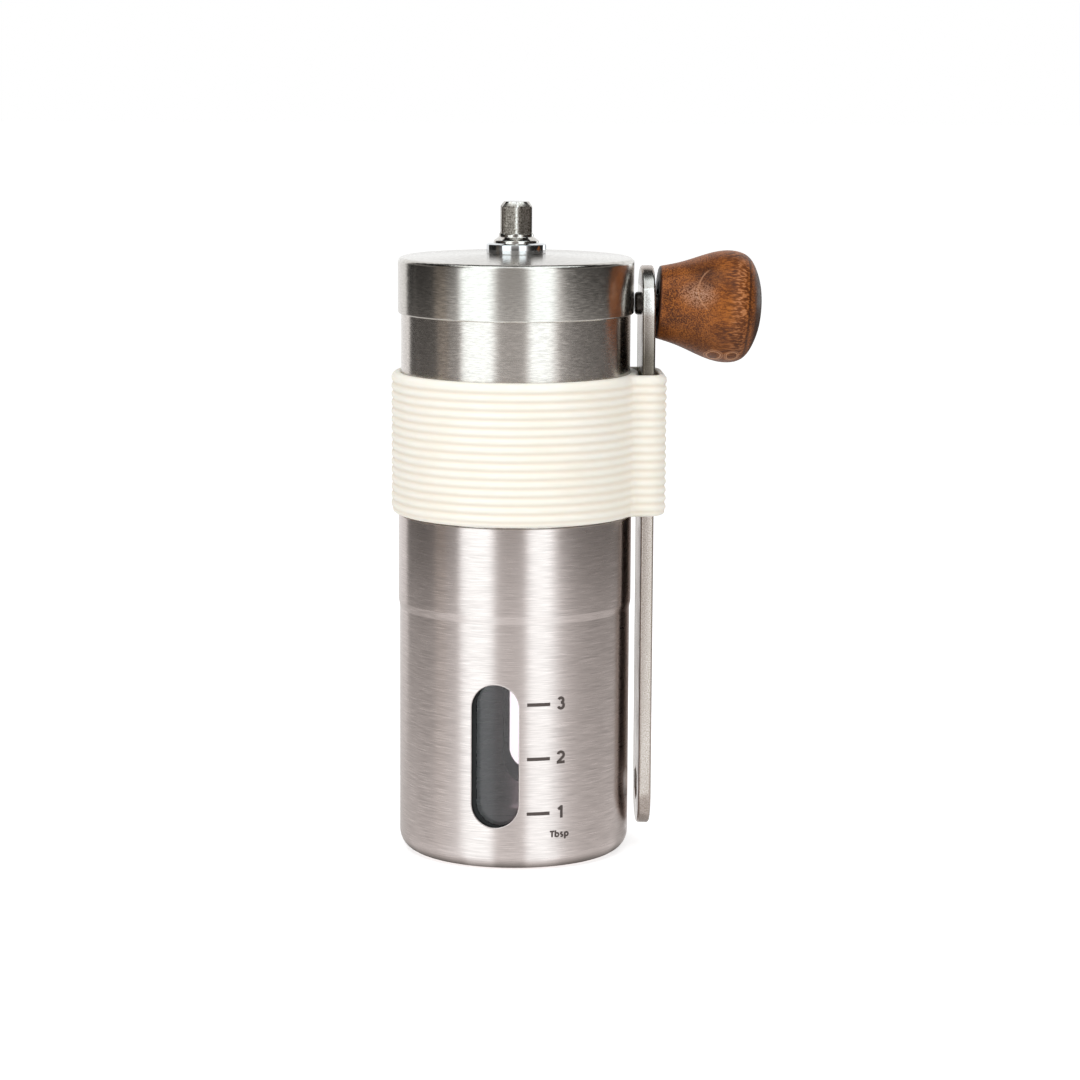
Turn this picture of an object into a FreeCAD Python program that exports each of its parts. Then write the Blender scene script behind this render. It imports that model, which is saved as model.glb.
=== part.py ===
"""Hand coffee grinder: a steel tube mill over a windowed grounds cup, crank stowed in its sleeve.

Millimetres, +Z up. The origin is the centre of the cup's flat base, on the axis of the tube.
The crank stands along +X in the loop of the grip sleeve, as it is stored.
Every piece is one solid in its own file, parts/NAME.step.
"""
import FreeCAD
import Part
import math
import os

# Fits between pieces
SLIDE_FIT = 0.06            # radial play where one round piece slides or turns in another
HEX_FIT = 0.075             # play on each flat of a hexagon that is pushed on by hand
REST_GAP = 0.3              # distance between pieces that rest on each other
INSERT_FIT = 0.15           # radial play of the clear liner in the steel cup

# Hopper tube
TUBE_R = 23.5
TUBE_WALL = 0.7
TUBE_LENGTH = 66.4
TUBE_EDGE_R = 0.2

# Grounds cup
CUP_HEIGHT = 70.35
CUP_WALL = 0.45
CUP_CORNER_R = 3.7
STEP_TOP = 53.4
STEP_HEIGHT = 2.3
STEP_IN = 0.25
STEP_BLEND_R = 6.0
WINDOW_WIDTH = 9.75
WINDOW_BOTTOM = 9.07
WINDOW_HEIGHT = 29.4
WINDOW_BEARING = -101.8     # degrees from +X, anticlockwise seen from above

# Clear liner of the cup
LINER_WALL = 1.6
LINER_LIP = 0.25
LINER_ABOVE_STEP = 0.6
LINER_LIP_HEIGHT = 0.8
LINER_RIM_R = 0.3

# Grip sleeve with the loop for the crank
SLEEVE_WALL = 2.0
SLEEVE_HEIGHT = 28.98
SLEEVE_GROOVES = 16
GROOVE_WIDTH = 0.6
GROOVE_INSET = 0.35
TOP_RIB_HEIGHT = 2.13       # from the sleeve's top to its first groove
FOOT_RIB_HEIGHT = 0.92      # from the last groove to the sleeve's foot
SLEEVE_END_ROUND = 0.55
LOOP_WALL = 1.7
LOOP_SIDE_WALL = 1.8
LOOP_CORNER_R = 4.5
LOOP_PLAY = 0.9             # space between the crank's outer face and the loop
POCKET_SIDE_PLAY = 0.3
POCKET_CORNER_R = 2.0
POCKET_WALL = 1.7           # sleeve wall behind the crank, under the ribs

# Outer burr and its seat
SEAT_WALL = 3.8             # housing wall outside the burr
OUTER_BURR_HEIGHT = 16.0
OUTER_BURR_ABOVE_TUBE_END = 8.1
BURR_KEYS = 3
BURR_KEY_R = 1.5
BURR_KEY_BEARING = 90.0
INNER_BURR_HEIGHT = 18.0
INNER_BURR_BELOW = 0.7      # how far the cone stands out under the ring burr
FINE_HEIGHT = 4.6
RING_WALL = 4.5             # from the cone's foot to the outside of the ring burr
FINE_TAPER = 1.1            # how much the cone narrows over its fine teeth
CORE_WALL = 1.2             # ceramic between the driver and the roots of the top teeth
FINE_GAP = 0.42
FEED_GAP = 3.0
TOOTH_FLANK = 0.12          # part of each tooth's pitch that its steep flank takes
FINE_LAND = 0.2             # part of the pitch that the crest takes
FINE_TEETH = 30
FINE_DEPTH = 0.75
FINE_TWIST = 5.0
RING_FINE_TEETH = 33
RING_FINE_TWIST = -5.0
COARSE_LAND = 0.25
COARSE_TEETH = 7
COARSE_DEPTH_LOW = 1.0
COARSE_DEPTH_TOP = 1.9
COARSE_TWIST = 42.0
COARSE_STEPS = 3
RING_COARSE_TEETH = 8
RING_COARSE_DEPTH = 1.5
RING_COARSE_TWIST = -30.0

# Burr housing
HOUSING_CEILING = 1.4
HOUSING_ABOVE_BURR = 15.6
FUNNEL_LIP = 1.2
FUNNEL_LIP_HEIGHT = 1.5
ARM_COUNT = 3
ARM_BEARING = 90.0
ARM_WIDTH = 3.4
ARM_SIDE_HEIGHT = 3.4
ARM_RIDGE = 1.2
HUB_WALL = 1.8

# Retainer of the outer burr
RETAINER_THICKNESS = 1.2
RETAINER_LIP = 3.0          # how far the retainer reaches under the burr
RETAINER_PLAY = 0.5
SCREW_COUNT = 3
SCREW_BEARING = 30.0
SCREW_WALL = 0.55           # housing wall between the burr and a screw
SCREW_R = 1.1
SCREW_LENGTH = 7.0
SCREW_HEAD_R = 1.75
SCREW_HEAD_HEIGHT = 1.3
SCREW_HEAD_ROUND = 0.43
SCREW_SLOT = 0.5
SCREW_SLOT_DEPTH = 0.65

# Bushes
BUSH_WALL = 1.25
BUSH_FLANGE = 1.1
BUSH_FLANGE_HEIGHT = 0.8
UPPER_BUSH_STAND = 0.3      # how far the bush stands out under its hub
LOWER_BUSH_LENGTH = 6.2

# Upper bridge
BRIDGE_HEIGHT = 6.5
BRIDGE_RIM_WALL = 1.4
BRIDGE_BELOW_TUBE_TOP = 5.7

# Drive shaft
SHAFT_R = 3.5
THREAD_R = 2.45
THREAD_PITCH = 0.8
THREAD_CHAMFER = 0.4
FINE_TURNS = 0.5            # turns of the nut from rest to the finest setting
COARSE_TURNS = 1.5          # turns of the nut from rest to the coarsest setting
DRIVE_FLATS = 5.6
SHOULDER_R = 4.6
SHOULDER_EDGE_R = 0.2
SHOULDER_CONE_HEIGHT = 1.1
SHOULDER_STEM_R = 3.45
HEAD_FLATS = 6.35           # quarter inch hexagon
HEAD_CORNER_R = 3.56
HEAD_HEIGHT = 7.3
HEAD_CHAMFER = 1.0
HEAD_CHAMFER_HEIGHT = 1.2
HEAD_FOOT = 0.5
HEAD_RUNOUT_R = 0.6
GROOVE_DEPTH = 0.5
RING_THICKNESS = 0.6
RING_WIDTH = 2.1
RING_OPENING = 4.4
WASHER_THICKNESS = 0.5
THRUST_WASHER_R = 5.3
SPRING_WASHER_R = 5.9
SPRING_WASHER_BORE_PLAY = 0.08
THREAD_END = 0.2            # thread left under the nut at its coarsest setting

# Burr driver, click plate and adjusting nut
DRIVER_R = 5.3
DRIVER_FLANGE_R = 9.0
DRIVER_FLANGE_HEIGHT = 1.4
DRIVER_KEYS = 3
DRIVER_KEY_WIDTH = 2.4
DRIVER_KEY_OUT = 1.2
DRIVER_HEX_FIT = 0.06
CLICK_PLATE_RIM = 0.5       # how far the plate reaches past the driver's flange
CLICK_PLATE_THICKNESS = 0.8
CLICK_HOLES = 12
CLICK_HOLE_R = 0.7
CLICK_CIRCLE_INSET = 1.8    # from the nut's hub edge in to the click holes
PLATE_BORE_PLAY = 0.2
NUT_HUB_INSET = 3.4         # from the dial's edge in to the hub
NUT_HUB_HEIGHT = 1.2
NUT_DIAL_R = 12.0
NUT_DIAL_HEIGHT = 4.0
NUT_DIAL_EDGE_R = 0.6
NUT_SCALLOPS = 8
NUT_SCALLOP_R = 3.2
NUT_SCALLOP_OUT = 1.6       # from the dial's edge out to the centre of a scallop
NUT_RECESS_R = 5.4
NUT_RECESS_DEPTH = 1.4

# Spring
SPRING_WIRE_R = 0.4
SPRING_COIL_R = 4.7
SPRING_HALF_TURNS = 9
SPRING_CHECK_COUNT = 30     # points on each half turn where the gap between coils is measured

# Lid
LID_PLAY = 0.08             # radial play of the cap's skirt round the tube
LID_WALL = 0.58
LID_SKIRT = 11.36
LID_EDGE_R = 1.0
LID_HEM = 0.22
LID_CROWN = 0.8
LID_ABOVE_TUBE = 2.3
LID_DISC_EDGE = 1.1
PLUG_DEPTH = 3.6
PLUG_WALL = 1.5
PLUG_LEAD = 0.4

# Collar of the lid
COLLAR_R = 6.1
COLLAR_HEIGHT = 2.2
COLLAR_SHOULDER = 0.6
COLLAR_SPIGOT_WALL = 0.65

# Crank arm
ARM_THICKNESS = 2.6
ARM_BAR_WIDTH = 16.0
ARM_FOOT_Z = 4.8
ARM_EDGE_R = 0.45
SOCKET_FROM_END = 8.5
AXLE_FROM_END = 7.8
AXLE_ABOVE_SLEEVE = 13.97   # keeps the knob clear of the loop

# Axle of the knob
AXLE_SPIGOT_R = 1.6
AXLE_PEEN_R = 2.35
AXLE_PEEN_HEIGHT = 0.9
AXLE_PEEN_ROUND = 0.63
AXLE_R = 1.9
AXLE_HEAD_R = 3.4
AXLE_HEAD_THICKNESS = 1.4
AXLE_HEAD_PLAY = 0.45
AXLE_HEAD_ROUND = 0.4
KNOB_WASHER_R = 3.4
KNOB_WASHER_THICKNESS = 0.35

# Knob, which hangs down a little on its axle
KNOB_DROOP = 3.6            # degrees
KNOB_OFF_ARM = 0.85         # from the arm's face to the centre of the knob's foot
KNOB_PIVOT = 4.1            # from the foot to the point where knob and axle lines cross
KNOB_FOOT_R = 7.4
KNOB_FLARE = 0.22           # how much the side leans out at the foot, for each mm along
KNOB_WAIST_R = 8.75
KNOB_WAIST_AT = 5.0
KNOB_NECK_R = 10.65
KNOB_NECK_AT = 10.0
KNOB_BULB_R = 11.5
KNOB_BULB_AT = 14.6
KNOB_SHOULDER_R = 10.6
KNOB_SHOULDER_AT = 17.9
KNOB_FACE_R = 7.6
KNOB_FACE_AT = 20.0
KNOB_CROWN_R = 3.8
KNOB_CROWN_AT = 21.1
KNOB_LENGTH = 21.35
KNOB_SLEEVE_LENGTH = 16.0
KNOB_SLEEVE_WALL = 1.6
KNOB_BORE_DEPTH = 19.0
KNOB_AXLE_PLAY = 0.08

# Radii worked out from the sizes above
TUBE_BORE_R = TUBE_R - TUBE_WALL
MOUTH_BORE_R = TUBE_R + SLIDE_FIT
MOUTH_R = MOUTH_BORE_R + CUP_WALL
CUP_R = MOUTH_R - STEP_IN
CUP_BORE_R = CUP_R - CUP_WALL
LINER_R = CUP_BORE_R - INSERT_FIT
LINER_BORE_R = LINER_R - LINER_WALL
SLEEVE_R = TUBE_R + SLEEVE_WALL
SHAFT_BORE_R = SHAFT_R + SLIDE_FIT
BUSH_R = SHAFT_BORE_R + BUSH_WALL
BUSH_FLANGE_R = BUSH_R + BUSH_FLANGE
HUB_R = BUSH_R + HUB_WALL
COLLAR_BORE_R = SHOULDER_R + SLIDE_FIT
COLLAR_SPIGOT_R = COLLAR_BORE_R + COLLAR_SPIGOT_WALL
LID_BORE_R = TUBE_R + LID_PLAY
LID_R = LID_BORE_R + LID_WALL
PLUG_R = TUBE_BORE_R - SLIDE_FIT
DRIVE_CORNER_R = DRIVE_FLATS / math.sqrt(3)
GROOVE_R = SHAFT_R - GROOVE_DEPTH
OUTER_BURR_R = TUBE_BORE_R - SEAT_WALL
CONE_FOOT_R = OUTER_BURR_R - RING_WALL
CONE_FINE_R = CONE_FOOT_R - FINE_TAPER
CONE_TOP_R = DRIVER_R + CORE_WALL + COARSE_DEPTH_TOP
THROAT_R = CONE_FINE_R
RETAINER_INNER_R = OUTER_BURR_R - RETAINER_LIP
SCREW_CIRCLE_R = OUTER_BURR_R + SCREW_WALL + SCREW_R
CLICK_PLATE_R = DRIVER_FLANGE_R + CLICK_PLATE_RIM
NUT_HUB_R = NUT_DIAL_R - NUT_HUB_INSET
CLICK_CIRCLE_R = NUT_HUB_R - CLICK_CIRCLE_INSET
NUT_SCALLOP_CIRCLE_R = NUT_DIAL_R + NUT_SCALLOP_OUT

# Heights of the cup and the tube
STEP_FOOT = STEP_TOP - STEP_HEIGHT
LINER_TOP = STEP_TOP + LINER_ABOVE_STEP
TUBE_FOOT = LINER_TOP + REST_GAP
TUBE_TOP = TUBE_FOOT + TUBE_LENGTH
SLEEVE_FOOT = CUP_HEIGHT + REST_GAP
SLEEVE_TOP = SLEEVE_FOOT + SLEEVE_HEIGHT

# Heights of the lid
LID_DISC_FOOT = TUBE_TOP + REST_GAP
LID_TOP = TUBE_TOP + LID_ABOVE_TUBE
LID_FOOT = LID_TOP - LID_SKIRT
COLLAR_FOOT = LID_TOP + LID_CROWN
COLLAR_TOP = COLLAR_FOOT + COLLAR_HEIGHT

# Heights of the burr set
RING_FOOT = TUBE_FOOT + OUTER_BURR_ABOVE_TUBE_END
RING_TOP = RING_FOOT + OUTER_BURR_HEIGHT
CONE_FOOT = RING_FOOT - INNER_BURR_BELOW
CONE_TOP = CONE_FOOT + INNER_BURR_HEIGHT
FINE_TOP = RING_FOOT + FINE_HEIGHT
HOUSING_TOP = RING_TOP + HOUSING_ABOVE_BURR
THROAT_TOP = RING_TOP + HOUSING_CEILING
PLATE_FOOT = CONE_FOOT - CLICK_PLATE_THICKNESS
NUT_TOP = PLATE_FOOT - REST_GAP
DIAL_TOP = NUT_TOP - NUT_HUB_HEIGHT
NUT_FOOT = DIAL_TOP - NUT_DIAL_HEIGHT

# Heights of the bearings and the shaft
LOWER_BUSH_TOP = HOUSING_TOP + REST_GAP
LOWER_BUSH_FOOT = LOWER_BUSH_TOP - LOWER_BUSH_LENGTH
SHAFT_STEP = LOWER_BUSH_FOOT - REST_GAP
SPRING_TOP = SHAFT_STEP - WASHER_THICKNESS
BRIDGE_TOP = TUBE_TOP - BRIDGE_BELOW_TUBE_TOP
BRIDGE_FOOT = BRIDGE_TOP - BRIDGE_HEIGHT
SHOULDER_FOOT = LID_DISC_FOOT - REST_GAP
UPPER_BUSH_TOP = SHOULDER_FOOT - WASHER_THICKNESS - REST_GAP
UPPER_BUSH_FOOT = BRIDGE_FOOT - UPPER_BUSH_STAND
RING_SLOT_TOP = UPPER_BUSH_FOOT - REST_GAP
FINE_TRAVEL = THREAD_PITCH * FINE_TURNS
COARSE_TRAVEL = THREAD_PITCH * COARSE_TURNS
THREAD_FOOT = NUT_FOOT - COARSE_TRAVEL - THREAD_END
THREAD_TOP = NUT_TOP + FINE_TRAVEL + REST_GAP
CONE_SHOULDER_TOP = COLLAR_TOP + SHOULDER_CONE_HEIGHT
HEAD_TOP = CONE_SHOULDER_TOP + HEAD_HEIGHT

# Places of the crank and the knob
POCKET_R = TUBE_R + POCKET_WALL
ARM_X = POCKET_R + REST_GAP
ARM_OUT_X = ARM_X + ARM_THICKNESS
SOCKET_Z = ARM_FOOT_Z + SOCKET_FROM_END
AXLE_Z = SLEEVE_TOP + AXLE_ABOVE_SLEEVE
ARM_TOP_Z = AXLE_Z + AXLE_FROM_END
POCKET_OUT_X = ARM_OUT_X + LOOP_PLAY
LOOP_OUT_X = POCKET_OUT_X + LOOP_WALL
POCKET_HALF = ARM_BAR_WIDTH / 2 + POCKET_SIDE_PLAY
LOOP_HALF = POCKET_HALF + LOOP_SIDE_WALL
KNOB_FOOT_X = ARM_OUT_X + KNOB_OFF_ARM
KNOB_TILT = math.radians(KNOB_DROOP)
KNOB_SWING = (KNOB_SLEEVE_LENGTH - KNOB_PIVOT) * math.tan(KNOB_TILT)
KNOB_SLEEVE_BORE_R = AXLE_R + KNOB_SWING + KNOB_AXLE_PLAY
AXLE_HEAD_FOOT = KNOB_SLEEVE_LENGTH + AXLE_HEAD_PLAY
HEAD_SWING = (AXLE_HEAD_FOOT + AXLE_HEAD_THICKNESS - KNOB_PIVOT) * math.tan(KNOB_TILT)
KNOB_BORE_R = max(KNOB_SLEEVE_BORE_R + KNOB_SLEEVE_WALL, AXLE_HEAD_R + HEAD_SWING + KNOB_AXLE_PLAY)

ORIGIN = FreeCAD.Vector(0, 0, 0)
X_AXIS = FreeCAD.Vector(1, 0, 0)
Y_AXIS = FreeCAD.Vector(0, 1, 0)
Z_AXIS = FreeCAD.Vector(0, 0, 1)
OVER = 1.0                  # how far a cutter runs past what it cuts
TINY = 1e-7


def side_on(u, v):
    """Point of a turned outline: u is the radius, v the height."""
    return FreeCAD.Vector(u, 0, v)


def plan(u, v):
    """Point of an outline seen from above."""
    return FreeCAD.Vector(u, v, 0)


def end_on(u, v):
    """Point of an outline seen along X: u is Y, v is Z."""
    return FreeCAD.Vector(0, u, v)


def rounded_wire(corners, place):
    """Closed wire through (u, v) corners; a third number rounds that corner with an arc."""
    points = [place(corner[0], corner[1]) for corner in corners]
    radii = [corner[2] if len(corner) > 2 else 0.0 for corner in corners]
    starts = []
    ends = []
    arcs = []
    for index, point in enumerate(points):
        back = (points[index - 1] - point).normalize()
        ahead = (points[(index + 1) % len(points)] - point).normalize()
        if radii[index] <= 0:
            starts.append(point)
            ends.append(point)
            arcs.append(None)
            continue
        half = back.getAngle(ahead) / 2
        reach = radii[index] / math.tan(half)
        centre = point + (back + ahead).normalize() * (radii[index] / math.sin(half))
        starts.append(point + back * reach)
        ends.append(point + ahead * reach)
        middle = centre + (point - centre).normalize() * radii[index]
        arcs.append(Part.Arc(starts[-1], middle, ends[-1]).toShape())
    edges = []
    for index, arc in enumerate(arcs):
        if arc is not None:
            edges.append(arc)
        following = starts[(index + 1) % len(points)]
        if (following - ends[index]).Length > TINY:
            edges.append(Part.LineSegment(ends[index], following).toShape())
    return Part.Wire(edges)


def turned(corners):
    """Solid turned round Z from a closed outline of radius and height."""
    return Part.Face(rounded_wire(corners, side_on)).revolve(ORIGIN, Z_AXIS, 360)


def plate(corners, foot, top):
    """Plate with an outline seen from above, between two heights."""
    face = Part.Face(rounded_wire(corners, plan))
    face.translate(Z_AXIS * foot)
    return face.extrude(Z_AXIS * (top - foot))


def bar(corners, near, far):
    """Bar along X with an outline in Y and Z."""
    face = Part.Face(rounded_wire(corners, end_on))
    face.translate(X_AXIS * near)
    return face.extrude(X_AXIS * (far - near))


def disc(radius, foot, top):
    """Round disc or rod on the Z axis."""
    return Part.makeCylinder(radius, top - foot, Z_AXIS * foot)


def rod_at(radius, x, y, foot, top):
    """Upright rod away from the axis."""
    return Part.makeCylinder(radius, top - foot, FreeCAD.Vector(x, y, foot))


def hexagon(flats, turn=0.0):
    """Corners of a hexagon; the first corner lies at the bearing given by turn."""
    radius = flats / math.sqrt(3)
    bearings = [math.radians(turn + 60 * step) for step in range(6)]
    return [(radius * math.cos(angle), radius * math.sin(angle)) for angle in bearings]


def around(shape, count, bearing=0.0):
    """Copies of a shape, evenly round the Z axis, the first turned by bearing."""
    copies = []
    for step in range(count):
        copy = shape.copy()
        copy.rotate(ORIGIN, Z_AXIS, bearing + 360.0 * step / count)
        copies.append(copy)
    return copies


def circles_at(shape, radius, height):
    """Round edges of a turned piece at one radius and height."""
    found = []
    for edge in shape.Edges:
        curve = edge.Curve
        if not isinstance(curve, Part.Circle):
            continue
        if abs(curve.Radius - radius) < TINY and abs(curve.Center.z - height) < TINY:
            found.append(edge)
    return found


def grounds_cup():
    """Drawn cup with a step under its mouth and a long window on each side."""
    shell = turned([
        (0, 0),
        (CUP_R, 0, CUP_CORNER_R),
        (CUP_R, STEP_FOOT, STEP_BLEND_R),
        (MOUTH_R, STEP_TOP, STEP_BLEND_R),
        (MOUTH_R, CUP_HEIGHT),
        (MOUTH_BORE_R, CUP_HEIGHT),
        (MOUTH_BORE_R, STEP_TOP, STEP_BLEND_R),
        (CUP_BORE_R, STEP_FOOT, STEP_BLEND_R),
        (CUP_BORE_R, CUP_WALL, CUP_CORNER_R - CUP_WALL),
        (0, CUP_WALL),
    ])
    half = WINDOW_WIDTH / 2
    top = WINDOW_BOTTOM + WINDOW_HEIGHT
    slot = bar([
        (-half, WINDOW_BOTTOM, half),
        (half, WINDOW_BOTTOM, half),
        (half, top, half),
        (-half, top, half),
    ], -CUP_R - OVER, CUP_R + OVER)
    slot.rotate(ORIGIN, Z_AXIS, WINDOW_BEARING)
    return shell.cut(slot)


def cup_liner():
    """Clear moulded cup with a lip that centres it in the step of the steel cup."""
    lip_foot = LINER_TOP - LINER_LIP_HEIGHT
    return turned([
        (0, CUP_WALL),
        (LINER_R, CUP_WALL, CUP_CORNER_R - CUP_WALL + INSERT_FIT),
        (LINER_R, lip_foot),
        (LINER_R + LINER_LIP, lip_foot + LINER_LIP),
        (LINER_R + LINER_LIP, LINER_TOP),
        (LINER_BORE_R, LINER_TOP, LINER_RIM_R),
        (LINER_BORE_R, CUP_WALL + LINER_WALL, CUP_CORNER_R - LINER_WALL),
        (0, CUP_WALL + LINER_WALL),
    ])


def hopper_tube():
    """Steel tube that holds the beans and the mill, its ends rounded."""
    return turned([
        (TUBE_BORE_R, TUBE_FOOT, TUBE_EDGE_R),
        (TUBE_R, TUBE_FOOT, TUBE_EDGE_R),
        (TUBE_R, TUBE_TOP, TUBE_EDGE_R),
        (TUBE_BORE_R, TUBE_TOP, TUBE_EDGE_R),
    ])


def sleeve_outline(inset, height):
    """Outline of the sleeve and its loop seen from above, drawn in by an inset."""
    radius = SLEEVE_R - inset
    half = LOOP_HALF - inset
    out = LOOP_OUT_X - inset
    corner = LOOP_CORNER_R - inset
    join = math.sqrt(radius ** 2 - half ** 2)
    bend = corner * (1 - math.sqrt(0.5))
    ring_far = Part.Arc(plan(join, half), plan(0, radius), plan(-radius, 0))
    ring_near = Part.Arc(plan(-radius, 0), plan(0, -radius), plan(join, -half))
    side_near = Part.LineSegment(plan(join, -half), plan(out - corner, -half))
    bend_near = Part.Arc(plan(out - corner, -half), plan(out - bend, bend - half), plan(out, corner - half))
    front = Part.LineSegment(plan(out, corner - half), plan(out, half - corner))
    bend_far = Part.Arc(plan(out, half - corner), plan(out - bend, half - bend), plan(out - corner, half))
    side_far = Part.LineSegment(plan(out - corner, half), plan(join, half))
    curves = [ring_far, ring_near, side_near, bend_near, front, bend_far, side_far]
    wire = Part.Wire([curve.toShape() for curve in curves])
    wire.translate(Z_AXIS * height)
    return wire


def grip_sleeve():
    """Ribbed silicone sleeve: narrow grooves run round the tube and round the crank's loop."""
    pitch = (SLEEVE_HEIGHT - TOP_RIB_HEIGHT - FOOT_RIB_HEIGHT) / (SLEEVE_GROOVES - 1)
    outlines = [
        sleeve_outline(SLEEVE_END_ROUND, SLEEVE_FOOT),
        sleeve_outline(0, SLEEVE_FOOT + SLEEVE_END_ROUND),
    ]
    for groove in range(SLEEVE_GROOVES):
        height = SLEEVE_FOOT + FOOT_RIB_HEIGHT + pitch * groove
        outlines.append(sleeve_outline(0, height - GROOVE_WIDTH / 2))
        outlines.append(sleeve_outline(GROOVE_INSET, height))
        outlines.append(sleeve_outline(0, height + GROOVE_WIDTH / 2))
    outlines.append(sleeve_outline(0, SLEEVE_TOP - SLEEVE_END_ROUND))
    outlines.append(sleeve_outline(SLEEVE_END_ROUND, SLEEVE_TOP))
    block = Part.makeLoft(outlines, True, True)
    pocket = plate([
        (0, -POCKET_HALF),
        (POCKET_OUT_X, -POCKET_HALF, POCKET_CORNER_R),
        (POCKET_OUT_X, POCKET_HALF, POCKET_CORNER_R),
        (0, POCKET_HALF),
    ], SLEEVE_FOOT - OVER, SLEEVE_TOP + OVER)
    pocket = pocket.cut(disc(POCKET_R, SLEEVE_FOOT - OVER, SLEEVE_TOP + OVER))
    bore = disc(TUBE_R, SLEEVE_FOOT - OVER, SLEEVE_TOP + OVER)
    return block.cut(bore).cut(pocket)


def bridge_arms(reach, foot):
    """Three arms with a ridge on top, so that beans slide off them."""
    half = ARM_WIDTH / 2
    side = foot + ARM_SIDE_HEIGHT
    arm = bar([(-half, foot), (half, foot), (half, side), (0, side + ARM_RIDGE), (-half, side)], 0, reach)
    return around(arm, ARM_COUNT, ARM_BEARING)


def burr_keys(play):
    """Half-round keys that stop the outer burr from turning in its seat."""
    key = rod_at(BURR_KEY_R + play, OUTER_BURR_R, 0, RING_FOOT - OVER, RING_TOP)
    return around(key, BURR_KEYS, BURR_KEY_BEARING)


def screw_shanks(foot):
    """Shanks of the retainer screws."""
    shank = rod_at(SCREW_R, SCREW_CIRCLE_R, 0, foot, RING_FOOT + SCREW_LENGTH)
    return around(shank, SCREW_COUNT, SCREW_BEARING)


def burr_housing():
    """Moulded housing: seat of the outer burr, funnel above it and a bridge for the lower bush."""
    funnel_r = TUBE_BORE_R - FUNNEL_LIP
    body = turned([
        (OUTER_BURR_R, RING_FOOT),
        (TUBE_BORE_R, RING_FOOT),
        (TUBE_BORE_R, HOUSING_TOP),
        (funnel_r, HOUSING_TOP),
        (funnel_r, HOUSING_TOP - FUNNEL_LIP_HEIGHT),
        (THROAT_R, THROAT_TOP),
        (THROAT_R, RING_TOP),
        (OUTER_BURR_R, RING_TOP),
    ])
    arm_foot = HOUSING_TOP - ARM_SIDE_HEIGHT - ARM_RIDGE
    hub_foot = LOWER_BUSH_FOOT + BUSH_FLANGE_HEIGHT
    body = body.fuse(bridge_arms((funnel_r + TUBE_BORE_R) / 2, arm_foot))
    body = body.fuse(disc(HUB_R, hub_foot, HOUSING_TOP))
    lugs = [key.common(disc(TUBE_BORE_R, RING_FOOT, RING_TOP)) for key in burr_keys(0)]
    body = body.fuse(lugs)
    body = body.cut(disc(BUSH_R, hub_foot - OVER, HOUSING_TOP + OVER))
    return body.cut(screw_shanks(RING_FOOT - OVER)).removeSplitter()


def tooth_wire(teeth, crest, root, land, turn, height):
    """Saw-toothed ring: each tooth has a land at the crest, a steep flank and a long back."""
    step = 360.0 / teeth
    corners = []
    for tooth in range(teeth):
        start = turn + step * tooth
        for radius, share in ((crest, 0.0), (crest, land), (root, land + TOOTH_FLANK)):
            angle = math.radians(start + step * share)
            corners.append(FreeCAD.Vector(radius * math.cos(angle), radius * math.sin(angle), height))
    return Part.makePolygon(corners + corners[:1])


def toothed(teeth, low, high, land, twist, steps):
    """Toothed cone between (height, crest, root) low and high, twisted by whole steps."""
    wires = []
    for step in range(steps + 1):
        share = step / steps
        height, crest, root = [a + (b - a) * share for a, b in zip(low, high)]
        wires.append(tooth_wire(teeth, crest, root, land, twist * share, height))
    return Part.makeLoft(wires, True, True)


def cone_crest(height):
    """Radius of the inner burr's teeth at a height, at rest."""
    if height <= FINE_TOP:
        share = (height - CONE_FOOT) / (FINE_TOP - CONE_FOOT)
        return CONE_FOOT_R + (CONE_FINE_R - CONE_FOOT_R) * share
    share = (height - FINE_TOP) / (CONE_TOP - FINE_TOP)
    return CONE_FINE_R + (CONE_TOP_R - CONE_FINE_R) * share


def outer_burr():
    """Ceramic ring burr: fine teeth at the foot, wide feeding flutes above them."""
    fine_low = (RING_FOOT - OVER, cone_crest(RING_FOOT - OVER) + FINE_GAP)
    fine_high = (FINE_TOP, cone_crest(FINE_TOP) + FINE_GAP)
    feed_high = (RING_TOP, cone_crest(RING_TOP) + FEED_GAP)
    slope = (feed_high[1] - fine_high[1]) / (feed_high[0] - fine_high[0])
    feed_over = (RING_TOP + OVER, feed_high[1] + slope * OVER)
    fine = toothed(RING_FINE_TEETH, fine_low + (fine_low[1] + FINE_DEPTH,),
                   fine_high + (fine_high[1] + FINE_DEPTH,), FINE_LAND, RING_FINE_TWIST, 1)
    feed = toothed(RING_COARSE_TEETH, fine_high + (fine_high[1] + RING_COARSE_DEPTH,),
                   feed_over + (feed_over[1] + RING_COARSE_DEPTH,), FINE_LAND, RING_COARSE_TWIST,
                   COARSE_STEPS)
    ring = disc(OUTER_BURR_R, RING_FOOT, RING_TOP)
    return ring.cut(burr_keys(0)).cut(fine).cut(feed)


def driver_body(foot, top):
    """Core of the inner burr with its three keys, without the flange."""
    core = disc(DRIVER_R, foot, top)
    half = DRIVER_KEY_WIDTH / 2
    reach = DRIVER_R + DRIVER_KEY_OUT
    key = plate([(0, -half), (reach, -half), (reach, half), (0, half)], foot, top)
    return core.fuse(around(key, DRIVER_KEYS))


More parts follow.
